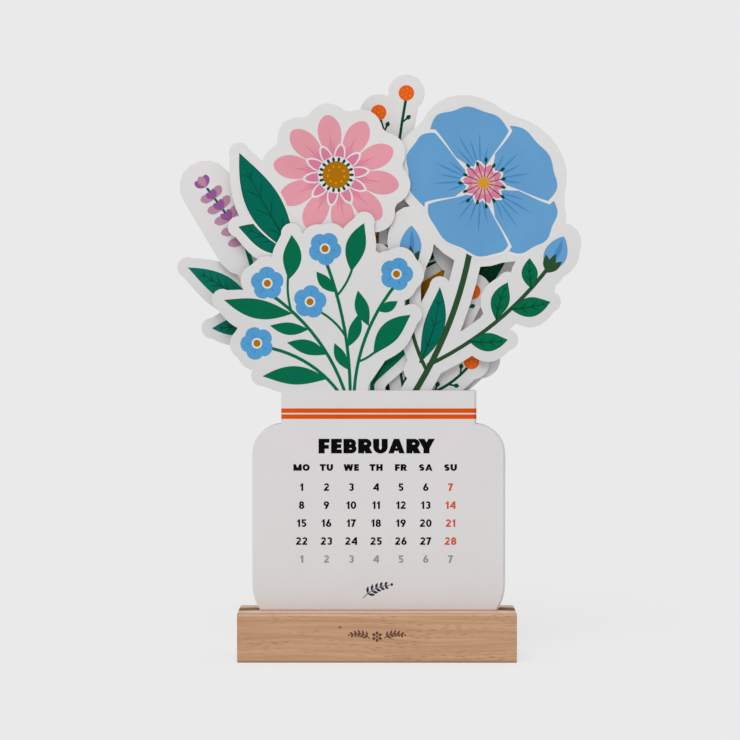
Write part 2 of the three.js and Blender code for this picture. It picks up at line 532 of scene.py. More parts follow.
@dataclass(frozen=True)
class BoardFinish(Finish):
    """White card stock. On the front the jar is printed pale grey, and painted shade fades out
    above it.

    Attributes:
        border: The bare white of the board.
        jar: The printed grey of the jar.
        tint: The board's white darkened by painted shade, low among the stems.
        edge: The cut edge, where the core of the board shows.
        neck_top: The height of the jar's top edge above the floor, in metres.
        fade: The heights at which the painted shade is full and at which it ends, in metres.
    """

    border: Colour = (219, 218, 217)
    jar: Colour = (214, 212, 212)
    tint: Colour = (211, 210, 210)
    edge: Colour = (203, 200, 196)
    neck_top: float = 0.11674
    fade: tuple[float, float] = (0.150, 0.205)

    @property
    def title(self) -> str:
        """The material's name."""
        return "card_board"

    def wire(self, wiring: Wiring, shader: Node, place: Socket) -> None:
        """Wire the board's white, its painted shade, its printed jar, its cut edge and its felt.

        Args:
            wiring: The material's node tree.
            shader: Its Principled BSDF.
            place: The Object coordinates.
        """
        tooth = wiring.group(self.shared.tooth, Vector=place, Fibre=BOARD_FIBRE)
        facing = wiring.split(wiring.node("ShaderNodeNewGeometry").outputs["Normal"])["Y"]
        height = wiring.split(place)["Z"]
        front = wiring.maths("LESS_THAN", facing, -FACE_ON)
        rear = wiring.maths("GREATER_THAN", facing, FACE_ON)
        low = wiring.maths("LESS_THAN", height, self.neck_top)
        # Painted shade: the front's white is darker low in the bouquet and fades out upward.
        shade_falloff = wiring.span(height, *self.fade, 1.0, 0.0)
        painted_shade_mask = wiring.maths("MULTIPLY", front, shade_falloff)
        colour = wiring.mix(painted_shade_mask, linear(self.border), linear(self.tint))
        colour = wiring.mix(wiring.maths("MULTIPLY", front, low), colour, linear(self.jar))
        flat = wiring.maths("ADD", front, rear)
        colour = wiring.mix(flat, linear(self.edge), colour)
        shade = wiring.span(tooth.outputs["Cloud"], 0.3, 0.7, 0.985, 1.015)
        cloud = wiring.node("ShaderNodeCombineColor")
        for index in range(3):
            wiring.tree.links.new(shade, cloud.inputs[index])
        colour = wiring.mix(1.0, colour, cloud.outputs[0], "MULTIPLY")
        rough = wiring.span(tooth.outputs["Height"], 0.3, 0.7, 0.62, 0.74)
        wiring.feed(
            shader, Base_Color=colour, Roughness=rough,
            Normal=bump(wiring, tooth.outputs["Height"], 0.12, BOARD_RELIEF),
        )
        shader.inputs["Specular IOR Level"].default_value = 0.3


class Ink(Enum):
    """The printing inks: a name that a maker would use, and the colour in sRGB."""

    BLACK = ("black", (8, 8, 9))
    SUNDAY = ("sunday_red", (205, 82, 60))
    PALE_GREY = ("pale_grey", (147, 147, 146))
    BAND = ("band_orange", (213, 80, 8))
    PAPER = ("paper_white", (219, 218, 217))
    NAVY = ("navy", (52, 52, 66))
    ROSE = ("rose", (223, 151, 163))
    DEEP_ROSE = ("deep_rose", (212, 124, 154))
    MUSTARD = ("mustard", (170, 109, 4))
    GOLD = ("gold", (206, 148, 44))
    FLAX = ("flax_blue", (99, 155, 201))
    DEEP_FLAX = ("deep_flax", (72, 134, 190))
    SKY = ("sky_blue", (82, 152, 203))
    LEAF = ("leaf_green", (4, 105, 70))
    SEA_LEAF = ("sea_leaf", (2, 101, 84))
    DARK_LEAF = ("dark_leaf", (6, 70, 44))
    MOSS = ("moss", (42, 76, 46))
    TEAL = ("teal", (10, 110, 91))
    GLOBE = ("globe_orange", (229, 93, 26))
    LILAC = ("lilac", (180, 133, 159))
    PURPLE = ("purple", (151, 84, 149))
    CORAL = ("coral", (226, 116, 98))
    RUST = ("rust", (166, 84, 42))
    BERRY = ("berry_red", (190, 56, 48))
    MIST = ("mist_grey", (190, 194, 192))
    SCORCH = ("scorch", (92, 48, 26))

    @property
    def label(self) -> str:
        """The ink's name."""
        return self.value[0]

    @property
    def colour(self) -> Colour:
        """The ink's colour in sRGB."""
        return self.value[1]


@dataclass(frozen=True)
class InkFinish(Finish):
    """One printing ink on card stock, a little uneven as a press lays it.

    Attributes:
        ink: Which ink it is.
    """

    ink: Ink = Ink.BLACK

    @property
    def title(self) -> str:
        """The material's name."""
        return f"ink_{self.ink.label}"

    def wire(self, wiring: Wiring, shader: Node, place: Socket) -> None:
        """Wire the ink's colour with its cloudiness, and the felt of the board under it.

        Args:
            wiring: The material's node tree.
            shader: Its Principled BSDF.
            place: The Object coordinates.
        """
        tooth = wiring.group(self.shared.tooth, Vector=place, Fibre=BOARD_FIBRE)
        red, green, blue, _ = linear(self.ink.colour)
        full = (red * 0.95, green * 0.95, blue * 0.95, 1.0)
        thin = (red * 1.04 + 0.001, green * 1.04 + 0.001, blue * 1.04 + 0.001, 1.0)
        lay = wiring.span(tooth.outputs["Cloud"], 0.3, 0.7, 0.0, 1.0)
        rough = wiring.span(tooth.outputs["Height"], 0.3, 0.7, 0.5, 0.66)
        wiring.feed(
            shader, Base_Color=wiring.mix(lay, full, thin), Roughness=rough,
            Normal=bump(wiring, tooth.outputs["Height"], 0.1, BOARD_RELIEF),
        )
        shader.inputs["Specular IOR Level"].default_value = 0.02


@dataclass(frozen=True)
class BeechFinish(Finish):
    """Oiled steamed beech with long streaks and short dark flecks.

    Attributes:
        pale: The wood between the streaks.
        deep: The wood in the streaks.
        fleck: The short pores.
        streak_share: How much of the streaks' colour shows, from 0 to 1.
        ring_share: How much of the rings shows, from 0 to 1.
        fleck_share: How much of the pores shows, from 0 to 1.
        foot: Painted shade, a darker wood colour on the rounded lower edge.
        foot_reach: The heights up to which it is full and at which it ends, in metres.
        lip: Painted light, a paler wood colour on top of the front lip where the cards stand.
        lip_reach: The distances from the middle between which it fades out, in metres.
        lip_height: The heights between which it comes in, in metres.
        lip_front: Where along Y it comes in behind the front edge, in metres.
        knot: The heart of the pin knot.
        knot_place: Where the pin knot runs through the block, in metres.
        knot_radius: Its radius.
    """

    pale: Colour = (196, 154, 117)
    deep: Colour = (167, 121, 86)
    fleck: Colour = (138, 92, 63)
    streak_share: float = 0.58
    ring_share: float = 0.5
    fleck_share: float = 0.7
    foot: Colour = (134, 92, 64)
    foot_reach: tuple[float, float] = (0.0006, 0.0013)
    lip: Colour = (228, 190, 160)
    lip_reach: tuple[float, float] = (0.0525, 0.0575)
    lip_height: tuple[float, float] = (0.0206, 0.0211)
    lip_front: tuple[float, float] = (-0.0140, -0.0118)
    knot: Colour = (96, 52, 34)
    knot_place: tuple[float, float] = (-0.01585, 0.01537)
    knot_radius: float = 0.00075

    @property
    def title(self) -> str:
        """The material's name."""
        return "steamed_beech"

    def knot_mask(self, wiring: Wiring, place: Socket) -> object:
        """Mask the pin knot.

        Args:
            wiring: The material's node tree.
            place: The Object coordinates.

        Returns:
            How much of the knot shows, from 0 to 1.
        """
        across, height = self.knot_place
        away = wiring.node("ShaderNodeVectorMath", operation="MULTIPLY_ADD")
        wiring.tree.links.new(place, away.inputs[0])
        away.inputs[1].default_value = (0.75, 0.0, 1.0)
        away.inputs[2].default_value = (-0.75 * across, 0.0, -height)
        reach = wiring.node("ShaderNodeVectorMath", operation="LENGTH")
        wiring.tree.links.new(away.outputs["Vector"], reach.inputs[0])
        heart = 0.35 * self.knot_radius
        return wiring.span(reach.outputs["Value"], heart, self.knot_radius, 0.85, 0.0)

    def wire(self, wiring: Wiring, shader: Node, place: Socket) -> None:
        """Wire the grain's figure, painted light on the lip, painted shade on the lower edge and
        the pin knot.

        Args:
            wiring: The material's node tree.
            shader: Its Principled BSDF.
            place: The Object coordinates.
        """
        grain = wiring.group(self.shared.grain, Vector=place)
        streak = wiring.span(grain.outputs["Streak"], 0.4, 0.62, 0.0, self.streak_share)
        colour = wiring.mix(streak, linear(self.pale), linear(self.deep))
        ring = wiring.maths("MULTIPLY", grain.outputs["Ring"], self.ring_share)
        colour = wiring.mix(ring, colour, linear(self.deep))
        fleck = wiring.maths("MULTIPLY", grain.outputs["Fleck"], self.fleck_share)
        colour = wiring.mix(fleck, colour, linear(self.fleck))
        spot = wiring.split(place)
        # Painted light: the top of the front lip, along the stretch where the cards stand, is made
        # paler.
        along = wiring.span(wiring.maths("ABSOLUTE", spot["X"]), *self.lip_reach, 1.0, 0.0)
        top = wiring.span(spot["Z"], *self.lip_height, 0.0, 0.6)
        fore = wiring.maths("LESS_THAN", spot["Y"], 0.0)
        behind = wiring.span(spot["Y"], *self.lip_front, 0.0, 1.0)
        back = wiring.maths("MULTIPLY", fore, behind)
        painted_lip_light = wiring.maths("MULTIPLY", wiring.maths("MULTIPLY", along, top), back)
        colour = wiring.mix(painted_lip_light, colour, linear(self.lip))
        # Painted shade: the rounded lower edge is made darker.
        low = wiring.span(spot["Z"], *self.foot_reach, 0.7, 0.0)
        colour = wiring.mix(low, colour, linear(self.foot))
        colour = wiring.mix(self.knot_mask(wiring, place), colour, linear(self.knot))
        rough = wiring.span(grain.outputs["Streak"], 0.3, 0.7, 0.29, 0.37)
        wiring.feed(
            shader, Base_Color=colour, Roughness=rough,
            Normal=bump(wiring, grain.outputs["Height"], 0.35, WOOD_RELIEF),
        )
        shader.inputs["Specular IOR Level"].default_value = 0.65


@dataclass(frozen=True)
class ScorchFinish(Finish):
    """Wood that a hot stamp has browned, darker along the grain.

    Attributes:
        burnt: The darkest brown.
        toasted: The lighter brown.
    """

    burnt: Colour = (76, 38, 17)
    toasted: Colour = (104, 58, 31)

    @property
    def title(self) -> str:
        """The material's name."""
        return "scorched_beech"

    def wire(self, wiring: Wiring, shader: Node, place: Socket) -> None:
        """Wire the two browns through the grain.

        Args:
            wiring: The material's node tree.
            shader: Its Principled BSDF.
            place: The Object coordinates.
        """
        grain = wiring.group(self.shared.grain, Vector=place)
        streak = wiring.span(grain.outputs["Streak"], 0.35, 0.65, 0.0, 1.0)
        wiring.feed(
            shader, Base_Color=wiring.mix(streak, linear(self.burnt), linear(self.toasted)),
            Roughness=wiring.span(grain.outputs["Streak"], 0.3, 0.7, 0.72, 0.85),
            Normal=bump(wiring, grain.outputs["Height"], 0.4, WOOD_RELIEF),
        )


# ---------- Drawing and printing ----------


@dataclass
class Drawing:
    """Flat shapes in the order in which they are laid down, in millimetres.

    Attributes:
        shapes: The ink and the outline of each shape.
    """

    shapes: list[tuple[Ink, Outline]] = field(default_factory=list)

    def fill(self, ink: Ink, outline: Outline) -> None:
        """Lay down one shape."""
        self.shapes.append((ink, outline))

    def line(self, ink: Ink, root: Point, tip: Point, width: float, bow: float = 0.0) -> None:
        """Lay down a line of even width."""
        steps = 12 if bow else 1
        self.fill(ink, strip(root, tip, bow, lambda part: width / 2, steps))

    def blade(
        self, ink: Ink, root: Point, tip: Point, width: float,
        bow: float = 0.0, belly: float = 1.0, blunt: float = 1.0,
    ) -> None:
        """Lay down a leaf-like shape.

        Args:
            ink: Its ink.
            root: Where it starts.
            tip: Where it ends.
            width: Its greatest width.
            bow: How far its middle stands to the left.
            belly: Above 1, the widest place moves towards the tip.
            blunt: Below 1, its ends are rounder.
        """

        def half_width(part: float) -> float:
            """The half width at a part of the length from 0 to 1."""
            return width / 2 * math.sin(math.pi * min(1.0, max(0.0, part)) ** belly) ** blunt

        def edge(parts: list[float], side: int) -> Outline:
            """The points of the left edge (1) or the right edge (-1)."""
            return [
                polar(
                    on_bow(root, tip, bow, part),
                    bow_slope(root, tip, bow, part) + side * 90, half_width(part),
                )
                for part in parts
            ]

        if blunt < 1.0:
            eased = [(1 - math.cos(math.pi * i / BLADE_STEPS)) / 2 for i in range(BLADE_STEPS + 1)]
            self.fill(ink, edge(eased, -1) + edge(eased[1:-1], 1)[::-1])
        else:
            self.fill(ink, strip(root, tip, bow, half_width, BLADE_STEPS))

    def oval(
        self, ink: Ink, centre: Point, radii: Point, turn: float = 0.0, steps: int = 24
    ) -> None:
        """Lay down an oval.

        Args:
            ink: Its ink.
            centre: Its middle.
            radii: Its two radii.
            turn: Where the first radius points, in degrees.
            steps: How many chords it has.
        """
        rim = arc((0.0, 0.0), radii, 0.0, FULL_TURN, steps)[1:]
        c, s = math.cos(math.radians(turn)), math.sin(math.radians(turn))
        self.fill(ink, [(centre[0] + c * x - s * y, centre[1] + s * x + c * y) for x, y in rim])

    def dot(self, ink: Ink, centre: Point, radius: float, steps: int = 20) -> None:
        """Lay down a round dot."""
        self.oval(ink, centre, (radius, radius), steps=steps)

    def leaf(
        self, ink: Ink, root: Point, tip: Point, width: float, bow: float = 0.0,
        rib: Ink | None = None, rim: float = 0.0, veins: int = 0,
    ) -> None:
        """Lay down a leaf with a midrib.

        Args:
            ink: The ink of the blade.
            root: Where the leaf starts.
            tip: Where it ends.
            width: Its greatest width.
            bow: How far its middle stands to the left.
            rib: The ink of the rim, the midrib and the veins, where it has them.
            rim: The width of a dark line round the blade.
            veins: How many side veins each half has.
        """
        if rib and rim:
            self.blade(rib, root, tip, width, bow)
            inner_root, inner_tip = between(root, tip, 0.012), between(root, tip, 0.985)
            self.blade(ink, inner_root, inner_tip, width - 2 * rim, bow)
        else:
            self.blade(ink, root, tip, width, bow)
        if not rib:
            return

        def rib_width(part: float) -> float:
            """The midrib's half width, which ends in a hair before the tip."""
            return 0.32 * (1 - part) + 0.08 if part < 0.86 else 0.02

        self.fill(rib, strip(root, tip, bow, rib_width, 16))
        for i in range(veins):
            part = 0.2 + 0.55 * i / max(1, veins - 1)
            start = on_bow(root, tip, bow, part)
            heading = bow_slope(root, tip, bow, part)
            reach = self.vein_reach(math.dist(root, tip), width, part)
            for side in (-1, 1):
                end = polar(start, heading + side * VEIN_SLOPE, reach)
                self.blade(rib, start, end, VEIN_WIDTH, bow=-side * 0.5)

    def vein_reach(self, length: float, width: float, part: float) -> float:
        """The length of a side vein that ends inside the blade.

        Args:
            length: The leaf's length.
            width: Its greatest width.
            part: Where along the midrib the vein starts, from 0 to 1.

        Returns:
            The vein's length.
        """
        slope = math.radians(VEIN_SLOPE)
        reach = 0.6 * width
        while reach > 0.5:
            end = min(1.0, part + reach * math.cos(slope) / length)
            if reach * math.sin(slope) < 0.4 * width * math.sin(math.pi * end):
                break
            reach *= 0.92
        return reach

    def petals(
        self, ink: Ink, ring: "PetalRing", start: float, reach: float, width: float,
        belly: float = 1.5, blunt: float = 0.6, offset: float = 0.0,
    ) -> None:
        """Lay down a ring of petals.

        Args:
            ink: Their ink.
            ring: The flower head that they belong to.
            start: Where a petal starts, as a part of the head's radius.
            reach: Where it ends, likewise.
            width: Its greatest width.
            belly: Above 1, the widest place moves towards the tip.
            blunt: Below 1, its ends are rounder.
            offset: How far the ring is turned, in petals.
        """
        for i in range(ring.petals):
            root, tip = ring.spot(i + offset, start), ring.spot(i + offset, reach)
            self.blade(ink, root, tip, width, belly=belly, blunt=blunt)


@dataclass(frozen=True)
class PetalRing:
    """A flower head: an oval disc with its petals round it, as the card is cut.

    Attributes:
        centre: The middle of the head.
        half_length: Its greatest radius, along turn.
        half_width: Its smallest radius.
        petals: How many petals it has.
        turn: The slope of its long axis, in degrees.
    """

    centre: Point
    half_length: float
    half_width: float
    petals: int
    turn: float

    def spot(self, petal: float, part: float) -> Point:
        """A point of the head.

        Args:
            petal: Which petal it lies on, counted from the long axis.
            part: How far out it lies, as a part of the radius.

        Returns:
            The point.
        """
        angle = 2 * math.pi * petal / self.petals
        along = self.half_length * part * math.cos(angle)
        across = self.half_width * part * math.sin(angle)
        c, s = math.cos(math.radians(self.turn)), math.sin(math.radians(self.turn))
        return self.centre[0] + c * along - s * across, self.centre[1] + s * along + c * across

    def fan(
        self, petal: float, spread: float, start: float, reach: float, ruffle: float
    ) -> Outline:
        """The outline of one broad petal with a wavy edge.

        Args:
            petal: Which petal it is.
            spread: Its half width, in petals.
            start: Where it starts, as a part of the radius.
            reach: Where it ends, likewise.
            ruffle: How deep the waves of its edge are, likewise.

        Returns:
            The outline, anticlockwise.
        """
        shoulder = reach * 0.84
        side = [start + (shoulder - start) * (i / 9) for i in range(9)]
        flare = [
            spread * (0.25 + 0.75 * math.sin(math.pi / 2 * (r / shoulder) ** 0.8)) for r in side
        ]
        rim: Outline = []
        for i in range(25):
            across = -1 + i / 12
            drop = 0.16 * reach * abs(across) ** 3.2
            wave = ruffle * math.cos(3.2 * math.pi * across + 0.7 * petal)
            rim.append(self.spot(petal + spread * across, reach - drop + wave * (1 - across**4)))
        right = [self.spot(petal - f, r) for r, f in zip(side, flare, strict=True)]
        left = [self.spot(petal + f, r) for r, f in zip(side, flare, strict=True)]
        return right + rim + left[::-1]


def levels(drawing: Drawing) -> list[int]:
    """Give each shape the lowest layer that is above all the earlier shapes that it may cover.

    Args:
        drawing: The drawing with the shapes.

    Returns:
        The layer of each shape, from 1 up.
    """
    boxes: list[tuple[float, float, float, float]] = []
    found: list[int] = []
    for _, outline in drawing.shapes:
        xs, ys = [p[0] for p in outline], [p[1] for p in outline]
        box = (min(xs), max(xs), min(ys), max(ys))
        under = [
            level for level, other in zip(found, boxes, strict=True)
            if box[0] < other[1] and other[0] < box[1] and box[2] < other[3] and other[2] < box[3]
        ]
        boxes.append(box)
        found.append(max(under, default=0) + 1)
    return found


@dataclass(frozen=True)
class Press:
    """Turns drawings into thin closed solids on a face.

    Attributes:
        bed: How far a print reaches into the board, in millimetres.
        first: How far the lowest layer stands proud, in millimetres.
        rise: How much higher each next layer is, in millimetres.
    """

    bed: float = 0.01
    first: float = 0.018
    rise: float = 0.003

    def blanks(
        self, name: str, outlines: list[Outline], heights: Iterable[float]
    ) -> Piece:
        """Make one mesh of flat faces, each drawn out from a filled circle to its outline.

        Args:
            name: The new object's name.
            outlines: The outline of each face.
            heights: The height of each face, in millimetres.

        Returns:
            The new object.
        """
        deselect()
        bpy.ops.object.add(type="MESH", location=(0, 0, 0))
        piece = bpy.context.object
        piece.name = piece.data.name = name
        bpy.ops.object.mode_set(mode="EDIT")
        for outline in outlines:
            bpy.ops.mesh.primitive_circle_add(vertices=len(outline), radius=1.0, fill_type="NGON")
        bpy.ops.object.mode_set(mode="OBJECT")
        pairs = zip(outlines, heights, strict=True)
        spots = [(x, y, z) for outline, z in pairs for x, y in outline]
        piece.data.vertices.foreach_set("co", [n for spot in spots for n in spot])
        piece.data.update()
        return piece

    def thicken(self, piece: Piece, trim_below: float | None = None) -> None:
        """Make flat faces into solids that reach down into the board.

        Args:
            piece: The object with the faces.
            trim_below: Where it is given, all that lies below this Y is cut off first.
        """
        if trim_below is not None:
            edit(piece, lambda: bpy.ops.mesh.bisect(
                plane_co=(0, trim_below, 0), plane_no=(0, 1, 0), clear_inner=True
            ))

        def draw_down() -> None:
            """Extrude the faces and flatten the new ones at the bed's depth."""
            bpy.ops.mesh.extrude_region_move(TRANSFORM_OT_translate={"value": (0, 0, -1)})
            bpy.ops.transform.resize(value=(1, 1, 0), center_override=(0, 0, -self.bed))

        edit(piece, draw_down, face_outwards)

    def lay(
        self, drawing: Drawing, place: Matrix, name: str, trim_below: float | None = None
    ) -> list[tuple[Ink, Piece]]:
        """Print a drawing, one piece for each ink.

        Args:
            drawing: What to print.
            place: Where the sheet lies, from millimetres to the CAD frame.
            name: The start of each piece's name.
            trim_below: Where it is given, all that lies below this Y is cut off.

        Returns:
            Each ink with its piece.
        """
        heights = [self.first + self.rise * level for level in levels(drawing)]
        printed = []
        for ink in dict.fromkeys(ink for ink, _ in drawing.shapes):
            chosen = [i for i, (other, _) in enumerate(drawing.shapes) if other is ink]
            piece = self.blanks(
                f"{name}_{ink.label}",
                [drawing.shapes[i][1] for i in chosen], [heights[i] for i in chosen],
            )
            self.thicken(piece, trim_below)
            piece.data.transform(place)
            printed.append((ink, piece))
        return printed


# ---------- Lettering ----------


def bar(left: float, low: float, right: float, high: float) -> Outline:
    """An upright rectangle."""
    return [(left, low), (right, low), (right, high), (left, high)]


def slant(foot: float, head: float, width: float, low: float = 0.0, high: float = 1.0) -> Outline:
    """A sloping stroke with level ends.

    Args:
        foot: The middle of its lower end.
        head: The middle of its upper end.
        width: Its width along X.
        low: The height of the lower end.
        high: The height of the upper end.

    Returns:
        The outline.
    """
    half = width / 2
    return [(foot - half, low), (foot + half, low), (head + half, high), (head - half, high)]


def bowl(
    centre: Point, radii: Point, stem: float, level: float, start: float, end: float
) -> Outline:
    """A curved stroke.

    Args:
        centre: The middle of the curve.
        radii: Its outer radii.
        stem: The stroke's thickness where it is upright.
        level: Its thickness where it is level.
        start: The first angle, in degrees.
        end: The last angle, in degrees.

    Returns:
        The outline.
    """
    steps = max(4, round(abs(end - start) / 15))
    inner = (max(0.02, radii[0] - stem), max(0.02, radii[1] - level))
    return arc(centre, radii, start, end, steps) + arc(centre, inner, start, end, steps)[::-1]


WIDTHS = dict(zip(
    "ABCDEFGHIJLMNOPRSTUVWY0123456789",
    (1.13, 0.9, 0.96, 0.98, 0.74, 0.75, 1.04, 0.98, 0.0, 0.66, 0.7, 1.28, 1.06, 1.12, 0.86, 0.97,
     0.84, 0.92, 1.0, 1.1, 1.5, 1.13, 0.74, 0.44, 0.68, 0.68, 0.78, 0.68, 0.72, 0.66, 0.72, 0.72),
    strict=True,
))
KERNS = {
    "RU": -0.05, "UA": -0.07, "RY": -0.26, "LY": -0.2, "AY": -0.2, "OV": -0.04, "VE": -0.02,
}


@dataclass(frozen=True)
class Lettering:
    """One size and weight of plain capitals and figures, built of bars, slants and bowls.

    Attributes:
        title: What the letters are for.
        cap: The height of a capital, in millimetres.
        stem: The width of an upright stroke, in cap heights.
        level: The thickness of a level stroke, likewise.
        gap: The space between two letters, likewise.
        stretch: How much wider than usual the letters are.
    """

    title: str
    cap: float
    stem: float
    level: float
    gap: float
    stretch: float = 1.0

    def width(self, letter: str) -> float:
        """A letter's width in cap heights."""
        return WIDTHS[letter] * self.stretch or self.stem

    def right_bowl(self, low: float, high: float, width: float) -> list[Outline]:
        """A bowl on a stem's right side.

        Args:
            low: The lower edge of the bowl.
            high: Its upper edge.
            width: How far right it reaches.

        Returns:
            The bowl and the two bars that join it to the stem.
        """
        side = min(self.stem, 0.24 + 0.2 * self.stem)
        tall = (high - low) / 2
        inner = max(0.05, min(tall - self.level, width - self.stem - side))
        middle = width - side - inner
        return [
            bar(0, high - self.level, middle, high),
            bar(0, low, middle, low + self.level),
            bowl((middle, low + tall), (side + inner, tall), side, self.level, -90, 90),
        ]

    def ring(self, low: float, high: float, width: float, start: float, end: float) -> Outline:
        """Part of an oval ring that fills a box from the left edge to width.

        Args:
            low: The lower edge of the box.
            high: Its upper edge.
            width: Its width.
            start: The first angle, in degrees.
            end: The last angle, in degrees.

        Returns:
            The outline.
        """
        tall = (high - low) / 2
        side = min(self.stem, 0.4 * width)
        return bowl((width / 2, low + tall), (width / 2, tall), side, self.level, start, end)

    def strokes(self, letter: str) -> list[Outline]:
        """The strokes of one letter or figure.

        Args:
            letter: The letter or figure.

        Returns:
            The outline of each stroke, in cap heights from the lower left corner.
        """
        s, t, w = self.stem, self.level, self.width(letter)
        half, stem, waist = s / 2, bar(0, 0, s, 1), (1 - t) / 2
        top, foot = bar(0, 1 - t, w, 1), bar(0, 0, w, t)
        far_stem = bar(w - s, 0, w, 1)
        upper, lower = (1 - (1 + t) / 2, 1.0), (0.0, (1 + t) / 2)
        round_foot = 0.46
        diagonal = s * 1.06
        leg = s * 0.9
        tail = s * 1.12

        def whole(low: float, high: float, width: float) -> list[Outline]:
            """Both halves of a closed ring."""
            return [self.ring(low, high, width, start, start + 180) for start in (0, 180)]

        small = w * 0.88
        shift = (w - small) / 2
        rings = whole(upper[0], 1.01, small)
        loop = [[(x + shift, y) for x, y in ring] for ring in rings]
        return {
            "A": [
                slant(leg / 2, w / 2, leg), slant(w - leg / 2, w / 2, leg),
                bar(w * 0.22, 0.17, w * 0.78, 0.17 + t * 0.7),
            ],
            "B": [stem, *self.right_bowl(*lower, w), *self.right_bowl(*upper, w * 0.96)],
            "C": [self.ring(0, 1, w * 1.06, 48, 312)],
            "D": [stem, *self.right_bowl(0, 1, w)],
            "E": [stem, top, foot, bar(0, waist, w * 0.95, waist + t)],
            "F": [stem, top, bar(0, waist - 0.05, w * 0.94, waist - 0.05 + t)],
            "G": [
                self.ring(0, 1, w, 44, 322), bar(w - s, 0.12, w, 0.54),
                bar(w * 0.56, 0.54 - t * 0.9, w, 0.54),
            ],
            "H": [stem, far_stem, bar(0, waist, w, waist + t)],
            "I": [stem],
            "J": [bar(w - s, round_foot, w, 1), self.ring(0, 2 * round_foot, w, 190, 360)],
            "L": [stem, foot],
            "M": [stem, far_stem, slant(w / 2, half, s), slant(w / 2, w - half, s)],
            "N": [stem, far_stem, slant(w - half, half, diagonal)],
            "O": whole(-0.01, 1.01, w),
            "P": [stem, *self.right_bowl(0.34 - t / 4, 1, w)],
            "R": [
                stem, *self.right_bowl(0.4 - t / 4, 1, w * 0.95),
                slant(w - half, w * 0.5, tail, 0, 0.5),
            ],
            "S": [self.ring(*upper, w, 28, 270), self.ring(*lower, w, -152, 90)],
            "T": [top, bar(w / 2 - half, 0, w / 2 + half, 1)],
            "U": [
                bar(0, round_foot, s, 1), bar(w - s, round_foot, w, 1),
                self.ring(-0.01, 2 * round_foot + 0.01, w, 180, 360),
            ],
            "V": [slant(w / 2, half, diagonal), slant(w / 2, w - half, diagonal)],
            "W": [
                slant(w * 0.28, half, s), slant(w * 0.28, w / 2, s),
                slant(w * 0.72, w / 2, s), slant(w * 0.72, w - half, s),
            ],
            "Y": [
                bar(w / 2 - half, 0, w / 2 + half, 0.46),
                slant(w / 2, half, diagonal, 0.36), slant(w / 2, w - half, diagonal, 0.36),
            ],
            "0": whole(-0.01, 1.01, w),
            "1": [
                bar(w - s, 0, w, 1),
                [(0, 0.74), (0.04, 0.58), (w - s / 2, 0.84), (w - s / 2, 1.0)],
            ],
            "2": [
                self.ring(0.42, 1.01, w, -24, 165),
                slant(half * 1.1, w - half * 1.25, tail * 1.15, t * 0.5, 0.6), foot,
            ],
            "3": [self.ring(upper[0], 1.01, w, -90, 152), self.ring(-0.01, lower[1], w, -152, 90)],
            "4": [
                bar(w * 0.62, 0, w * 0.62 + s, 1), bar(0, 0.2, w, 0.2 + t),
                slant(s * 0.45, w * 0.62 + half, tail, 0.28),
            ],
            "5": [
                bar(w * 0.1, 1 - t, w * 0.94, 1), bar(w * 0.1, 0.46, w * 0.1 + s * 0.95, 1),
                self.ring(-0.01, 0.64, w, -152, 122),
            ],
            "6": [*whole(-0.01, 0.64, w), slant(half, w * 0.62, tail, 0.34)],
            "7": [bar(0, 1 - t, w, 1), slant(w * 0.3, w - half * 1.1, tail, 0, 1)],
            "8": [*whole(-0.01, lower[1], w), *loop],
            "9": [*whole(0.36, 1.01, w), slant(w * 0.38, w - half, tail, 0, 0.66)],
        }[letter]

    def space(self, first: str, second: str) -> float:
        """The space between two letters in cap heights."""
        return self.gap + KERNS.get(first + second, 0.0)

    def line_width(self, words: str) -> float:
        """The width of a line of letters in millimetres."""
        spaces = sum(self.space(*pair) for pair in zip(words, words[1:], strict=False))
        return self.cap * (sum(self.width(c) for c in words) + spaces)


Line = tuple[Lettering, str, Point]


@dataclass
class TypeCase:
    """Sets lines of letters. Each letter is modelled once, and its solid is copied for each use.

    Attributes:
        press: What turns outlines into solids.
        sorts: The model of each letter that was used so far.
    """

    press: Press
    sorts: dict[tuple[str, str], bpy.types.Mesh] = field(default_factory=dict)

    def sort(self, lettering: Lettering, letter: str) -> bpy.types.Mesh:
        """Return the mesh of a letter as one solid, at the size it is printed.

        Args:
            lettering: Its size and weight.
            letter: The letter or figure.

        Returns:
            A mesh whose lower left corner is at the origin.
        """
        key = (lettering.title, letter)
        if key not in self.sorts:
            cap = lettering.cap
            outlines = [[(x * cap, y * cap) for x, y in o] for o in lettering.strokes(letter)]
            piece = self.press.blanks("sort", outlines, [self.press.first] * len(outlines))
            self.press.thicken(piece)
            if len(outlines) > 1:
                edit(piece, lambda: bpy.ops.mesh.intersect_boolean(
                    operation="UNION", use_self=True, solver="EXACT"
                ))
            self.sorts[key] = piece.data
            bpy.data.objects.remove(piece)
        return self.sorts[key]

    def compose(self, lines: Iterable[Line], place: Matrix, name: str) -> Piece:
        """Set several lines as one piece.

        Args:
            lines: The lettering, the words and the middle of the baseline of each line.
            place: Where the sheet lies, from millimetres to the CAD frame.
            name: The new piece's name.

        Returns:
            The piece.
        """
        copies = []
        for lettering, words, (middle, baseline) in lines:
            x = middle - lettering.line_width(words) / 2
            for letter, after in zip(words, words[1:] + " ", strict=True):
                mesh = self.sort(lettering, letter).copy()
                mesh.transform(Matrix.Translation((x, baseline, 0)))
                copies.append(bpy.data.objects.new(name, mesh))
                x += lettering.cap * (lettering.width(letter) + lettering.space(letter, after))
        deselect()
        for copy in copies:
            bpy.context.collection.objects.link(copy)
            copy.select_set(True)
        bpy.context.view_layer.objects.active = copies[0]
        if len(copies) > 1:
            bpy.ops.object.join()
        piece = copies[0]
        piece.name = piece.data.name = name
        piece.data.transform(place)
        return piece


# ---------- What the pieces share ----------


class Slot(Enum):
    """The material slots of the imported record."""

    CARD_STOCK = "card_stock"
    BEECH = "beech"


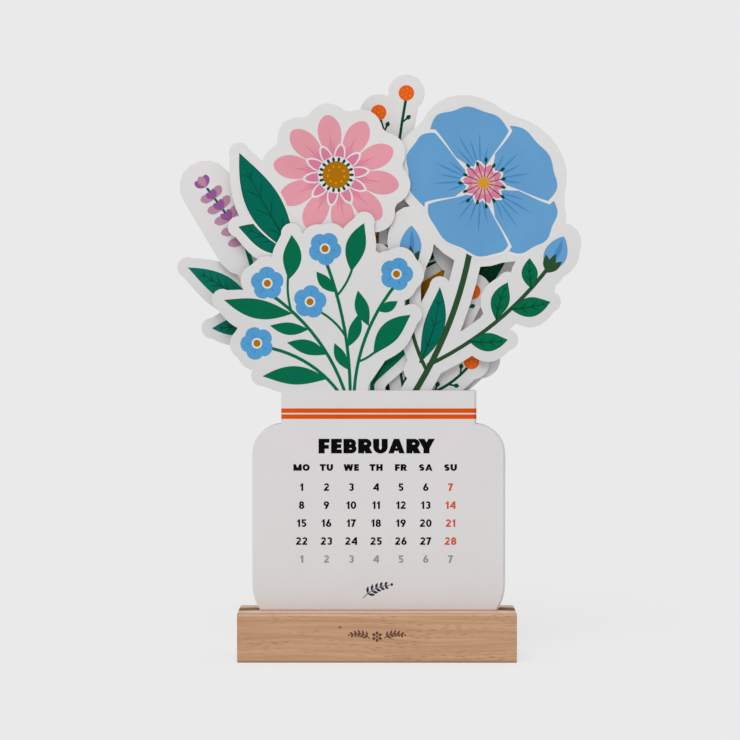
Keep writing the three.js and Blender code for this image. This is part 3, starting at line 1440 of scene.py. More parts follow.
@dataclass
class Workshop:
    """The press, the type and the finishes, and how a finished piece joins the model.

    Attributes:
        effects: The node groups that the finishes share.
        press: What turns drawings into solids.
        case: The type.
    """

    effects: SharedEffects
    press: Press
    case: TypeCase

    def ink(self, ink: Ink) -> Finish:
        """The finish of an ink."""
        return ScorchFinish(self.effects) if ink is Ink.SCORCH else InkFinish(self.effects, ink)

    def fit(
        self, piece: Piece, finish: Finish, body: str, slot: Slot, stands_for: str = ""
    ) -> None:
        """Dress a piece and join it to the body that it moves with.

        Args:
            piece: The finished piece.
            finish: Its material.
            body: The CAD body that it rides on.
            slot: The record's material slot; not used.
            stands_for: The CAD node that it replaces, if it does.
        """
        finish.dress(piece)
        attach(piece, body)
        if stands_for:
            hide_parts(stands_for)
        log.info("%s rides on %s, %d faces", piece.name, body, len(piece.data.polygons))


# ---------- The cards ----------

MONTHS = (
    "january", "february", "march", "april", "may", "june",
    "july", "august", "september", "october", "november", "december",
)
WEEKDAYS = ("MO", "TU", "WE", "TH", "FR", "SA", "SU")
YEAR = 2021  # a year whose first of February is a Monday

TITLE = Lettering("title", cap=6.35, stem=0.42, level=0.27, gap=0.105)
HEADS = Lettering("heads", cap=2.9, stem=0.36, level=0.29, gap=0.12, stretch=0.97)
FIGURES = Lettering("figures", cap=3.3, stem=0.25, level=0.21, gap=0.14)


@dataclass
class JarPrint:
    """What is printed on the jar of every card, measured down from its top edge in millimetres.

    Attributes:
        neck_width: The width of the bands round the neck.
        bands: The upper and lower edge of each band.
        title_place: The middle of the title's baseline.
        heads_line: The baseline of the weekday heads.
        first_row: The baseline of the first row of days.
        row_pitch: The distance from row to row.
        column_pitch: The distance from column to column.
        middle: Where the middle column stands.
        fewest_rows: How many rows are printed at least.
        sprig: The root and the tip of the small sprig at the foot of the jar.
        sprig_bow: How far the sprig's middle stands to its left.
        sprig_drop: How much lower the sprig stands under a month with one row more.
    """

    neck_width: float = 83.9
    bands: tuple[tuple[float, float], ...] = ((-7.76, -9.71), (-10.35, -12.3))
    title_place: Point = (-0.55, -27.3)
    heads_line: float = -34.87
    first_row: float = -43.6
    row_pitch: float = 7.82
    column_pitch: float = 10.78
    middle: float = -0.8
    fewest_rows: int = 5
    sprig: tuple[Point, Point] = ((-6.35, -90.2), (5.25, -84.6))
    sprig_bow: float = 1.3
    sprig_drop: float = 3.0

    def draw_bands(self, drawing: Drawing) -> None:
        """Draw the bands round the neck."""
        half = self.neck_width / 2
        for high, low in self.bands:
            drawing.fill(Ink.BAND, bar(-half, low, half, high))

    def draw_sprig(self, drawing: Drawing, month: int) -> None:
        """Draw the small sprig at the foot of a month's jar.

        Args:
            drawing: What it is drawn on.
            month: The month, from 1 to 12.
        """
        drop = self.sprig_drop * (len(self.rows(month)) - self.fewest_rows)
        root, tip = ((across, height - drop) for across, height in self.sprig)
        bow = self.sprig_bow
        drawing.line(Ink.NAVY, root, tip, 0.32, bow)
        for i, part in enumerate((0.2, 0.36, 0.52, 0.68, 0.84)):
            start, slope = on_bow(root, tip, bow, part), bow_slope(root, tip, bow, part)
            for side in (-1, 1):
                end = polar(start, slope + side * 48, 3.3 - 0.32 * i)
                drawing.blade(Ink.NAVY, start, end, 1.15, bow=side * 0.15)
        drawing.dot(Ink.NAVY, polar(tip, 20, 0.8), 0.62)

    def column(self, weekday: int) -> float:
        """The middle of a weekday's column."""
        return self.middle + (weekday - 3) * self.column_pitch

    def rows(self, month: int) -> list[list[tuple[int, bool]]]:
        """The days of a month.

        Args:
            month: The month, from 1 to 12.

        Returns:
            For each week from Monday on, each day's number and whether it is of this month.
        """
        days = calendar.Calendar(firstweekday=0)
        weeks = days.monthdatescalendar(YEAR, month)
        if len(weeks) < self.fewest_rows:
            weeks += days.monthdatescalendar(YEAR, month % 12 + 1)[: self.fewest_rows - len(weeks)]
        return [[(day.day, day.month == month) for day in week] for week in weeks]

    def lines(self, month: int) -> dict[Ink, list[Line]]:
        """The lines of type of a month by their ink.

        Args:
            month: The month, from 1 to 12.

        Returns:
            For each ink, the lettering, the words and the middle of the baseline of each line.
        """
        black = [(TITLE, MONTHS[month - 1].upper(), self.title_place)]
        for i, head in enumerate(WEEKDAYS):
            black.append((HEADS, head, (self.column(i), self.heads_line)))
        found: dict[Ink, list[Line]] = {Ink.BLACK: black, Ink.SUNDAY: [], Ink.PALE_GREY: []}
        for row, week in enumerate(self.rows(month)):
            for weekday, (day, of_this_month) in enumerate(week):
                ink = Ink.SUNDAY if weekday == SUNDAY else Ink.BLACK
                if not of_this_month:
                    ink = Ink.PALE_GREY
                spot = (self.column(weekday), self.first_row - row * self.row_pitch)
                found[ink].append((FIGURES, str(day), spot))
        return {ink: lines for ink, lines in found.items() if lines}


@dataclass
class MonthCard(ABC):
    """One month's card: the jar's print and the flowers that stand in its neck.

    Attributes:
        workshop: What the pieces are made with.
        slip: How far the card stands to one side, in millimetres.
        place: Its place in the stack, from the front.
        pitch: The distance from card to card.
        front: Where the first card's printed face stands.
        foot: The height of the cards' feet.
        first_lean: How far the first card leans back, in degrees.
        lean_step: How much more each next one leans.
        neck_top: The height of the neck's top edge above the foot.
        bouquet_shift: How far the bouquet's middle is from the jar's.
        root: How far below the neck's top edge the stems start, where they are cut off by it.
        jar: What is printed on the jar.
    """

    workshop: Workshop
    slip: float
    place: int
    pitch: float = 0.62
    front: float = -3.143
    foot: float = 11.34
    first_lean: float = 0.4
    lean_step: float = 0.2
    neck_top: float = 105.4
    bouquet_shift: float = -0.45
    root: float = -4.0
    jar: JarPrint = field(default_factory=JarPrint)

    @property
    def month(self) -> int:
        """The month's number, from 1 to 12."""
        return (self.place + 1) % 12 + 1

    @property
    def body(self) -> str:
        """The name of the body and of the start of each piece's name."""
        return MONTHS[self.month - 1]

    def seat(self, across: float = 0.0) -> Matrix:
        """Where the card's printed face stands.

        Args:
            across: How far to the right of the card's middle the drawing's middle is.

        Returns:
            The matrix from a drawing in millimetres, whose origin is the middle of the neck's top
            edge, to the CAD frame.
        """
        lean = math.radians(self.first_lean + self.lean_step * self.place)
        return (
            Matrix.Scale(MILLIMETRE, 4)
            @ Matrix.Translation((self.slip, self.front + self.pitch * self.place, self.foot))
            @ Matrix.Rotation(-lean, 4, "X")
            @ Matrix.Rotation(math.pi / 2, 4, "X")
            @ Matrix.Translation((across, self.neck_top, 0))
        )

    @abstractmethod
    def flowers(self, drawing: Drawing) -> None:
        """Draw what stands in the jar.

        Args:
            drawing: What it is drawn on.
        """

    def build(self, board: Finish) -> None:
        """Dress the card's board and print it.

        Args:
            board: The finish of the board.
        """
        board.dress(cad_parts[f"card_{self.body}"])
        log.info("card_%s has the finish of its board", self.body)
        bouquet, bands = Drawing(), Drawing()
        self.flowers(bouquet)
        self.jar.draw_bands(bands)
        self.jar.draw_sprig(bands, self.month)
        press = self.workshop.press
        spot = self.seat(self.bouquet_shift)
        printed = press.lay(bouquet, spot, f"{self.body}_flowers", trim_below=0.0)
        printed += press.lay(bands, self.seat(), f"{self.body}_jar")
        for ink, lines in self.jar.lines(self.month).items():
            name = f"{self.body}_type_{ink.label}"
            printed.append((ink, self.workshop.case.compose(lines, self.seat(), name)))
        for ink, piece in printed:
            self.workshop.fit(piece, self.workshop.ink(ink), self.body, Slot.CARD_STOCK)


@dataclass
class FebruaryCard(MonthCard):
    """Small blue blossoms among leaves on branching stems, in front of all the others.

    Attributes:
        heads: The middle and the turn, in degrees, of each blossom.
        head_radius: A blossom's radius.
        stem_width: The width of the main stems.
    """

    heads: tuple[tuple[Point, float], ...] = (
        ((-47.5, 46.5), 20), ((-22.5, 61.5), 60), ((8.5, 50.5), 0),
        ((-52.0, 20.5), 40), ((-29.0, 38.5), 10),
    )
    head_radius: float = 7.2
    stem_width: float = 1.4

    def blossom(self, drawing: Drawing, centre: Point, turn: float) -> None:
        """Draw one five-petalled blossom.

        Args:
            drawing: What it is drawn on.
            centre: Its middle.
            turn: Where its first petal points, in degrees.
        """
        ring = PetalRing(centre, self.head_radius, self.head_radius, 5, turn)
        drawing.petals(Ink.SKY, ring, 0.1, 1.0, 6.9, belly=1.35, blunt=0.5)
        for petal in range(5):
            drawing.blade(Ink.DEEP_FLAX, ring.spot(petal, 0.3), ring.spot(petal, 0.74), 0.5)
        drawing.dot(Ink.PAPER, centre, 2.3)
        drawing.dot(Ink.MUSTARD, centre, 1.55)

    def flowers(self, drawing: Drawing) -> None:
        """Draw the stems, the leaves and the blossoms.

        Args:
            drawing: The bouquet.
        """
        low, wide, thin = self.root, self.stem_width, self.stem_width * 0.75
        for root, tip, width, bow in (
            ((-12.8, low), (-46.5, 42), wide, -5), ((-11.6, low), (-22.5, 57), wide, -3),
            ((-10, low), (8.2, 46), wide, 4.5), ((-14.2, low), (-49, 19), wide, -4.5),
            ((-13.6, 23.5), (-27.5, 35.5), thin, -1.5), ((-37.1, 34.4), (-38.4, 50), thin, 0.8),
            ((-17.8, 40.6), (-10.8, 52.5), thin, -0.8), ((-7.9, 12.6), (0.4, 18), thin, -0.6),
        ):
            drawing.line(Ink.LEAF, root, tip, width, bow)
        for root, tip, width, bow in (
            ((-36.6, 33.4), (-66.3, 39.3), 8.4, 1), ((-38.4, 48), (-37, 67.5), 8, -1),
            ((-11, 51.5), (-5.5, 72.6), 8.5, 1), ((-21.4, 5), (-49.6, 6.2), 8, -1),
            ((-1.4, 15.6), (14.6, 32.8), 8.6, 1.5), ((-21.4, 15.6), (-39, 20.8), 6.2, -0.6),
            ((-12.3, 9), (-18.4, 20.6), 4.8, 0.4), ((-12.5, 19), (-7.6, 33.6), 5.4, -0.6),
            ((-18, 42.6), (-26.2, 51.6), 5, 0.4), ((-3.5, 28), (-8.2, 43.4), 6, 0.6),
            ((0.3, 34.6), (9, 38.8), 4.4, -0.5), ((-29.5, 26.6), (-46.4, 28.2), 5.4, 0.6),
        ):
            drawing.leaf(Ink.LEAF, root, tip, width, bow)
            low_rib, high_rib = between(root, tip, 0.12), between(root, tip, 0.86)
            drawing.blade(Ink.SEA_LEAF, low_rib, high_rib, 0.55, bow * 0.7)
        for centre, turn in self.heads:
            self.blossom(drawing, centre, turn)


@dataclass
class MarchCard(MonthCard):
    """One large pink gerbera with two leaves to its left.

    Attributes:
        head: The flower head.
        disc: The radius of its yellow disc.
        florets: How many dark florets stand round the disc.
    """

    head: PetalRing = PetalRing((-18.5, 93.5), 28.0, 26.5, 10, -10.0)
    disc: float = 5.9
    florets: int = 18

    def flowers(self, drawing: Drawing) -> None:
        """Draw the stems, the flower head and the leaves over it.

        Args:
            drawing: The bouquet.
        """
        head, centre = self.head, self.head.centre
        drawing.line(Ink.DARK_LEAF, (-10, self.root), (-15, 76), 2.4, -3)
        drawing.petals(Ink.ROSE, head, 0.13, 0.985, 10.2, belly=1.7, blunt=0.55)
        for petal in range(head.petals):
            for lean, reach in ((-0.13, 0.56), (0.02, 0.7), (0.15, 0.52)):
                start, end = head.spot(petal + lean * 0.6, 0.22), head.spot(petal + lean, reach)
                drawing.blade(Ink.DEEP_ROSE, start, end, 0.7)
        half_length, half_width = head.half_length * 0.54, head.half_width * 0.54
        inner = PetalRing(centre, half_length, half_width, head.petals, head.turn)
        drawing.petals(Ink.PAPER, inner, 0.1, 0.98, 4.9, belly=1.4, offset=0.5)
        drawing.petals(Ink.DEEP_ROSE, inner, 0.1, 0.9, 3.7, belly=1.4, offset=0.5)
        drawing.dot(Ink.PAPER, centre, self.disc + 2.1, 30)
        drawing.dot(Ink.MUSTARD, centre, self.disc, 30)
        for i in range(self.florets):
            angle = FULL_TURN * i / self.florets
            floret = polar(centre, angle, self.disc + 0.8)
            drawing.oval(Ink.DARK_LEAF, floret, (1.05, 0.62), angle, 10)
            if i % 2:
                drawing.dot(Ink.GOLD, polar(centre, angle + 8, self.disc * 0.62), 0.5, 8)
        for root, tip, width, bow in (
            ((-36, 58), (-61, 71), 11, -1.5), ((-35.5, 58.5), (-60.5, 103), 15, 1.5),
        ):
            far_tip = polar(tip, bow_slope(root, tip, bow, 0.98), 1.2)
            drawing.blade(Ink.PAPER, root, far_tip, width + 2.4, bow)
            drawing.leaf(Ink.SEA_LEAF, root, tip, width, bow, rib=Ink.DARK_LEAF, rim=0.3, veins=4)
        drawing.line(Ink.DARK_LEAF, (-9.6, 33), (-36.4, 58.6), 2.0, -3)


@dataclass
class AprilCard(MonthCard):
    """One large blue flax flower, a closed bud and a leafy branch with a second bud.

    Attributes:
        head: The open flower.
        stamens: How many stamens it has.
    """

    head: PetalRing = PetalRing((46.0, 90.0), 37.5, 30.5, 5, -42.0)
    stamens: int = 15

    def bud(self, drawing: Drawing, foot: Point, top: Point, width: float) -> None:
        """Draw one closed bud with its sepals.

        Args:
            drawing: What it is drawn on.
            foot: Where it sits on its stem.
            top: Its tip.
            width: Its greatest width.
        """
        slope = math.degrees(math.atan2(top[1] - foot[1], top[0] - foot[0]))
        length = math.dist(foot, top)
        drawing.blade(Ink.FLAX, foot, top, width, belly=0.9, blunt=0.75)
        low, high = between(foot, top, 0.2), between(foot, top, 0.9)
        drawing.blade(Ink.DEEP_FLAX, low, high, width * 0.22, -0.5)
        for lean in (-32, 0, 32):
            reach = length * (0.5 - 0.0018 * abs(lean))
            drawing.blade(Ink.MOSS, polar(foot, slope, -1.0), polar(foot, slope + lean, reach), 3.1)

    def flowers(self, drawing: Drawing) -> None:
        """Draw the branch, the stems, the leaves, the buds and the open flower.

        Args:
            drawing: The bouquet.
        """
        drawing.line(Ink.MOSS, (21.5, 10.8), (74.6, 54), 1.7, -4.2)
        for ink, root, tip, width, bow in (
            (Ink.LEAF, (51.5, 30.5), (56.5, 47), 8, 0.8), (Ink.LEAF, (67, 44), (66, 57.5), 7, 0.5),
            (Ink.LEAF, (39.5, 21.5), (56.5, 22), 8, -0.8),
            (Ink.LEAF, (57.5, 35.5), (75, 38.5), 8.5, -0.8),
            (Ink.SEA_LEAF, (18.2, 12), (27, 45), 9, -2),
        ):
            drawing.leaf(ink, root, tip, width, bow, rib=Ink.DARK_LEAF, rim=0.25, veins=3)
        drawing.line(Ink.MOSS, (21.4, 8.4), (14, 56), 1.6, 4)
        self.bud(drawing, (14, 54.5), (14.6, 71.5), 9.4)
        self.bud(drawing, (74, 52), (80.8, 66.8), 10.0)
        drawing.line(Ink.MOSS, (14, self.root), (41, 66), 2.5, -4)
        head, centre = self.head, self.head.centre
        for petal in range(head.petals):
            drawing.fill(Ink.PAPER, head.fan(petal, 0.6, 0.05, 0.998, 0.018))
            drawing.fill(Ink.FLAX, head.fan(petal, 0.565, 0.05, 0.965, 0.018))
            for lean, reach in (
                (-0.34, 0.5), (-0.18, 0.66), (0.0, 0.58), (0.17, 0.68), (0.33, 0.52),
            ):
                start = head.spot(petal + lean * 0.5, 0.2)
                end = head.spot(petal + lean, reach)
                drawing.blade(Ink.DEEP_FLAX, start, end, 0.75)
        throat = PetalRing(centre, 9.6, 8.4, 10, head.turn)
        drawing.petals(Ink.PAPER, throat, 0.0, 1.12, 5.8, belly=1.0, blunt=0.7)
        drawing.petals(Ink.DEEP_ROSE, throat, 0.0, 1.0, 4.6, belly=1.0, blunt=0.7)
        drawing.dot(Ink.ROSE, centre, 5.0, 26)
        for i in range(self.stamens):
            angle = FULL_TURN * (i + 0.5) / self.stamens
            far = 9.6 if i % 2 else 8.2
            drawing.line(Ink.MOSS, polar(centre, angle, 2.6), polar(centre, angle, far), 0.36)
            drawing.oval(Ink.DARK_LEAF, polar(centre, angle, far + 0.5), (1.1, 0.66), angle, 10)
        drawing.dot(Ink.GOLD, centre, 2.5)


@dataclass
class MayCard(MonthCard):
    """A mustard marigold.

    Attributes:
        head: The flower head.
    """

    head: PetalRing = PetalRing((-4.0, 46.0), 15.0, 14.0, 10, 0.0)

    def flowers(self, drawing: Drawing) -> None:
        """Draw the stem, the two leaves and the three rings of petals.

        Args:
            drawing: The bouquet.
        """
        drawing.line(Ink.LEAF, (-2, self.root), (-4, 44), 2.2)
        drawing.leaf(Ink.LEAF, (-1.4, 2.8), (24, 34), 11, 3, rib=Ink.DARK_LEAF, veins=4)
        drawing.leaf(Ink.LEAF, (-3.4, 2.8), (-30, 34), 11, -3, rib=Ink.DARK_LEAF, veins=4)
        for ink, reach, width, offset in (
            (Ink.MUSTARD, 1.0, 8.6, 0.0), (Ink.GOLD, 0.78, 6.6, 0.5), (Ink.MUSTARD, 0.56, 4.8, 0.0),
        ):
            for colour, out, wide in ((Ink.PAPER, reach + 0.03, width + 0.9), (ink, reach, width)):
                drawing.petals(colour, self.head, 0.05, out, wide, 1.4, 0.5, offset)
        drawing.dot(Ink.RUST, self.head.centre, 3.2)


@dataclass
class JuneCard(MonthCard):
    """A spike of lavender that leans to the left.

    Attributes:
        spike: Where the flowering part of the stem starts and ends.
        whorls: How many rings of florets it has.
    """

    spike: tuple[Point, Point] = ((-57.0, 64.0), (-75.0, 88.5))
    whorls: int = 5

    def flowers(self, drawing: Drawing) -> None:
        """Draw the stem, the leaf and the florets in whorls up the spike.

        Args:
            drawing: The bouquet.
        """
        start, end = self.spike
        slope = math.degrees(math.atan2(end[1] - start[1], end[0] - start[0]))
        drawing.line(Ink.SEA_LEAF, (-14, self.root), (-58, 66), 2.0, 8)
        drawing.line(Ink.SEA_LEAF, (-57.6, 65), between(start, end, 0.98), 1.1)
        drawing.line(Ink.SEA_LEAF, (-21.6, 2.6), (-24, 11.5), 1.3, -0.5)
        drawing.leaf(Ink.SEA_LEAF, (-24, 10), (-24, 62), 12, 3, rib=Ink.DARK_LEAF, veins=4)
        for i in range(self.whorls):
            spot = between(start, end, 0.02 + 0.96 * i / self.whorls)
            reach = 8.2 - 0.5 * i
            for side in (-1, 1):
                outer = polar(spot, slope + side * 62, reach)
                inner = polar(spot, slope + side * 24, reach * 0.72)
                drawing.blade(Ink.LILAC, spot, outer, 3.9, -side * 0.5, belly=1.4, blunt=0.6)
                drawing.blade(Ink.PURPLE, spot, inner, 2.7, belly=1.4, blunt=0.6)
        for side, ink in ((-1, Ink.PURPLE), (1, Ink.PURPLE), (0, Ink.LILAC)):
            tip = polar(end, slope + side * 34, 5.4)
            drawing.blade(ink, end, tip, 3.4, belly=1.3, blunt=0.6)


@dataclass
class JulyCard(MonthCard):
    """Orange globe flowers on thin stems with small leaves.

    Attributes:
        globes: The middle of each flower.
        globe_radius: A flower's radius.
    """

    globes: tuple[Point, ...] = ((12.6, 129.5), (0.5, 121.0), (41.5, 43.0), (41.0, 12.5))
    globe_radius: float = 3.4

    def flowers(self, drawing: Drawing) -> None:
        """Draw the stems with a leaf at each joint, and the globes.

        Args:
            drawing: The bouquet.
        """
        for root, tip, bow, leaves in (
            ((12, self.root), (12.6, 128), 6, 11), ((9, 92), (0.5, 120.5), 0, 3),
            ((14, 6), (41.5, 43), -3, 5), ((14, self.root), (41, 12), -3, 4),
        ):
            drawing.line(Ink.DARK_LEAF, root, tip, 1.2, bow)
            for i in range(leaves):
                part = (i + 0.6) / (leaves + 0.6)
                spot, slope = on_bow(root, tip, bow, part), bow_slope(root, tip, bow, part)
                heading = slope + (42 if i % 2 else -42)
                drawing.line(Ink.DARK_LEAF, spot, polar(spot, heading, 3.0), 0.8)
                base, end = polar(spot, heading, 2.2), polar(spot, heading, 5.0)
                drawing.blade(Ink.DARK_LEAF, base, end, 1.9)
        for centre in self.globes:
            drawing.dot(Ink.GLOBE, centre, self.globe_radius)
            for i in range(6):
                drawing.dot(Ink.GOLD, polar(centre, 60 * i + 20, 1.9), 0.34, 8)
            drawing.dot(Ink.GOLD, centre, 0.4, 8)


@dataclass
class AugustCard(MonthCard):
    """Long teal leaves on one branch."""

    def flowers(self, drawing: Drawing) -> None:
        """Draw the branch and its leaves.

        Args:
            drawing: The bouquet.
        """
        drawing.line(Ink.TEAL, (-16, self.root), (-26.4, 40), 2.2, 1.5)
        drawing.line(Ink.TEAL, (-20, 7.6), (-53, 33.4), 1.8, -2)
        for root, tip, width, bow, veins in (
            ((-52, 33), (-82.5, 53.5), 10, -1.5, 6), ((-50, 31), (-72, 27), 8, 1, 4),
            ((-26, 38), (-44, 84), 13, 2, 6), ((-23.4, 22), (8, 60), 13, -2, 6),
            ((-18, 2), (-38, 8.5), 6.5, -0.8, 3),
        ):
            drawing.leaf(Ink.TEAL, root, tip, width, bow, rib=Ink.DARK_LEAF, veins=veins)


@dataclass
class SeptemberCard(MonthCard):
    """A coral tulip and a small bud."""

    def flowers(self, drawing: Drawing) -> None:
        """Draw the stems, the leaf, the tulip's petals from back to front and the bud.

        Args:
            drawing: The bouquet.
        """
        foot, top = (36.0, 61.0), (50.0, 102.0)
        drawing.line(Ink.LEAF, (14, self.root), (38, 66), 2.4, -3)
        drawing.line(Ink.LEAF, (16, self.root), (45, 13), 1.4, -3)
        drawing.line(Ink.LEAF, (14.6, -1.5), (12, 5), 1.3)
        drawing.leaf(Ink.LEAF, (12, 4), (6, 60), 13, 4, rib=Ink.DARK_LEAF, veins=5)
        for ink, spread, width, bow in (
            (Ink.RUST, -4.5, 15, 1.0), (Ink.RUST, 4.5, 15, -1.0), (Ink.CORAL, -9.5, 16, 2.4),
            (Ink.CORAL, 9.5, 16, -2.4), (Ink.CORAL, 0.0, 17, 0.0),
        ):
            tip = polar(top, -19, spread)
            rim = (Ink.PAPER, polar(tip, 71, 0.6), width + 1.4)
            for colour, end, wide in (rim, (ink, tip, width)):
                drawing.blade(colour, foot, end, wide, bow, belly=1.1, blunt=0.75)
        drawing.blade(Ink.RUST, between(foot, top, 0.15), between(foot, top, 0.7), 0.9)
        drawing.dot(Ink.CORAL, (45, 13.5), 3.7)
        drawing.blade(Ink.LEAF, (41.6, 11.6), (47, 15), 2.4, 0.6)


@dataclass
class OctoberCard(MonthCard):
    """Broad leaves in autumn colours."""

    def flowers(self, drawing: Drawing) -> None:
        """Draw the twigs and the leaves.

        Args:
            drawing: The bouquet.
        """
        drawing.line(Ink.MOSS, (-14, self.root), (-10.4, 21), 2.2)
        drawing.line(Ink.MOSS, (-13, 5), (-16.3, 15.2), 1.5)
        drawing.line(Ink.MOSS, (-12.4, 5.6), (-7.6, 14.4), 1.5, -0.6)
        for ink, root, tip, width, bow in (
            (Ink.MUSTARD, (-14, 2), (-37, 7), 8, -1), (Ink.RUST, (-16, 14), (-38, 66), 18, 3),
            (Ink.GOLD, (-10.4, 20), (-2, 92), 20, 0), (Ink.MUSTARD, (-8, 14), (34, 56), 18, -3),
        ):
            drawing.blade(Ink.PAPER, root, tip, width + 1.6, bow)
            drawing.leaf(ink, root, tip, width, bow, rib=Ink.MOSS, veins=7)


@dataclass
class NovemberCard(MonthCard):
    """Two dark green fern fronds.

    Attributes:
        leaflet_step: The distance from leaflet to leaflet along the rib.
        leaflet_width: A leaflet's greatest width.
    """

    leaflet_step: float = 4.1
    leaflet_width: float = 3.0

    def frond(self, drawing: Drawing, root: Point, tip: Point, width: float, bow: float) -> None:
        """Draw one frond with its leaflets in pairs.

        Args:
            drawing: What it is drawn on.
            root: Where its rib starts.
            tip: Where it ends.
            width: The frond's greatest width.
            bow: How far the rib's middle stands to the left.
        """
        drawing.line(Ink.MOSS, root, tip, 1.0, bow)
        last = round(0.86 * math.dist(root, tip) / self.leaflet_step)
        for i in range(last + 1):
            part = 0.1 + 0.86 * i / last
            spot, slope = on_bow(root, tip, bow, part), bow_slope(root, tip, bow, part)
            reach = width / 2 * math.sin(math.pi * part) ** 0.8 / math.sin(math.radians(58))
            for side in (-1, 1):
                drawing.blade(
                    Ink.DARK_LEAF, spot, polar(spot, slope + side * 56, reach),
                    min(self.leaflet_width, 0.4 * reach), -side * 0.5,
                )

    def flowers(self, drawing: Drawing) -> None:
        """Draw the stem and both fronds.

        Args:
            drawing: The bouquet.
        """
        drawing.line(Ink.MOSS, (4.4, self.root), (5.2, 7), 1.5)
        drawing.line(Ink.MOSS, (4.6, 0.2), (1.9, 6.3), 1.2)
        self.frond(drawing, (5.2, 6), (20, 98), 24, -3)
        self.frond(drawing, (2, 6), (-24, 66), 20, 3)


@dataclass
class DecemberCard(MonthCard):
    """Red berries over dark leaves.

    Attributes:
        berries: The middle of each berry.
        berry_radius: A berry's radius.
    """

    berries: tuple[Point, ...] = ((56.0, 100.0), (40.0, 104.0), (46.0, 88.0))
    berry_radius: float = 7.6

    def flowers(self, drawing: Drawing) -> None:
        """Draw the stems, the leaves and the berries with a glint.

        Args:
            drawing: The bouquet.
        """
        drawing.line(Ink.MOSS, (8, self.root), (46, 90), 2.2, -5)
        for centre in self.berries:
            drawing.line(Ink.MOSS, (42.2, 73.4), centre, 1.4)
        drawing.line(Ink.MOSS, (11.9, 1.6), (9, 15), 1.4, 0.6)
        for root, tip, width, bow in (((18.2, 13), (62, 66), 15, 3), ((9, 14), (4, 68), 15, -3)):
            drawing.leaf(Ink.DARK_LEAF, root, tip, width, bow, rib=Ink.LEAF, veins=6)
        for centre in self.berries:
            drawing.dot(Ink.BERRY, centre, self.berry_radius, 28)
            drawing.oval(Ink.CORAL, polar(centre, 130, 4.2), (1.9, 0.8), 40, 12)


@dataclass
class JanuaryCard(MonthCard):
    """Snowdrops over narrow leaves, at the back of the stack."""

    def snowdrop(self, drawing: Drawing, neck: Point, mouth: Point, width: float) -> None:
        """Draw one hanging flower.

        Args:
            drawing: What it is drawn on.
            neck: Where it hangs from its stem.
            mouth: The middle of its mouth.
            width: Its greatest width.
        """
        slope = math.degrees(math.atan2(mouth[1] - neck[1], mouth[0] - neck[0]))
        for side in (-1, 1, 0):
            tip = polar(mouth, slope + 90 * side, width * 0.3 * abs(side))
            drawing.blade(Ink.MIST, neck, tip, width * 0.52, belly=1.2, blunt=0.7)
            start, end = between(neck, tip, 0.05), between(neck, tip, 0.95)
            drawing.blade(Ink.PAPER, start, end, width * 0.52 - 0.9, belly=1.2, blunt=0.7)
        drawing.oval(Ink.LEAF, neck, (2.6, 1.9), slope, 16)
        drawing.blade(Ink.LEAF, between(neck, mouth, 0.66), between(neck, mouth, 0.88), 1.8)

    def flowers(self, drawing: Drawing) -> None:
        """Draw the leaves, the arching stems and the flowers.

        Args:
            drawing: The bouquet.
        """
        drawing.leaf(Ink.SEA_LEAF, (-15.4, -2), (-42, 62), 12, 4, rib=Ink.DARK_LEAF)
        drawing.leaf(Ink.SEA_LEAF, (-7, -2), (24, 68), 13, -3, rib=Ink.DARK_LEAF)
        drawing.line(Ink.LEAF, (-14, self.root), (-33, 100), 1.6, 5)
        drawing.line(Ink.LEAF, (-8, self.root), (-14, 106), 1.6, -3)
        self.snowdrop(drawing, (-33, 100), (-37, 81), 14)
        self.snowdrop(drawing, (-14, 106), (-13, 86), 15)


# ---------- The block ----------


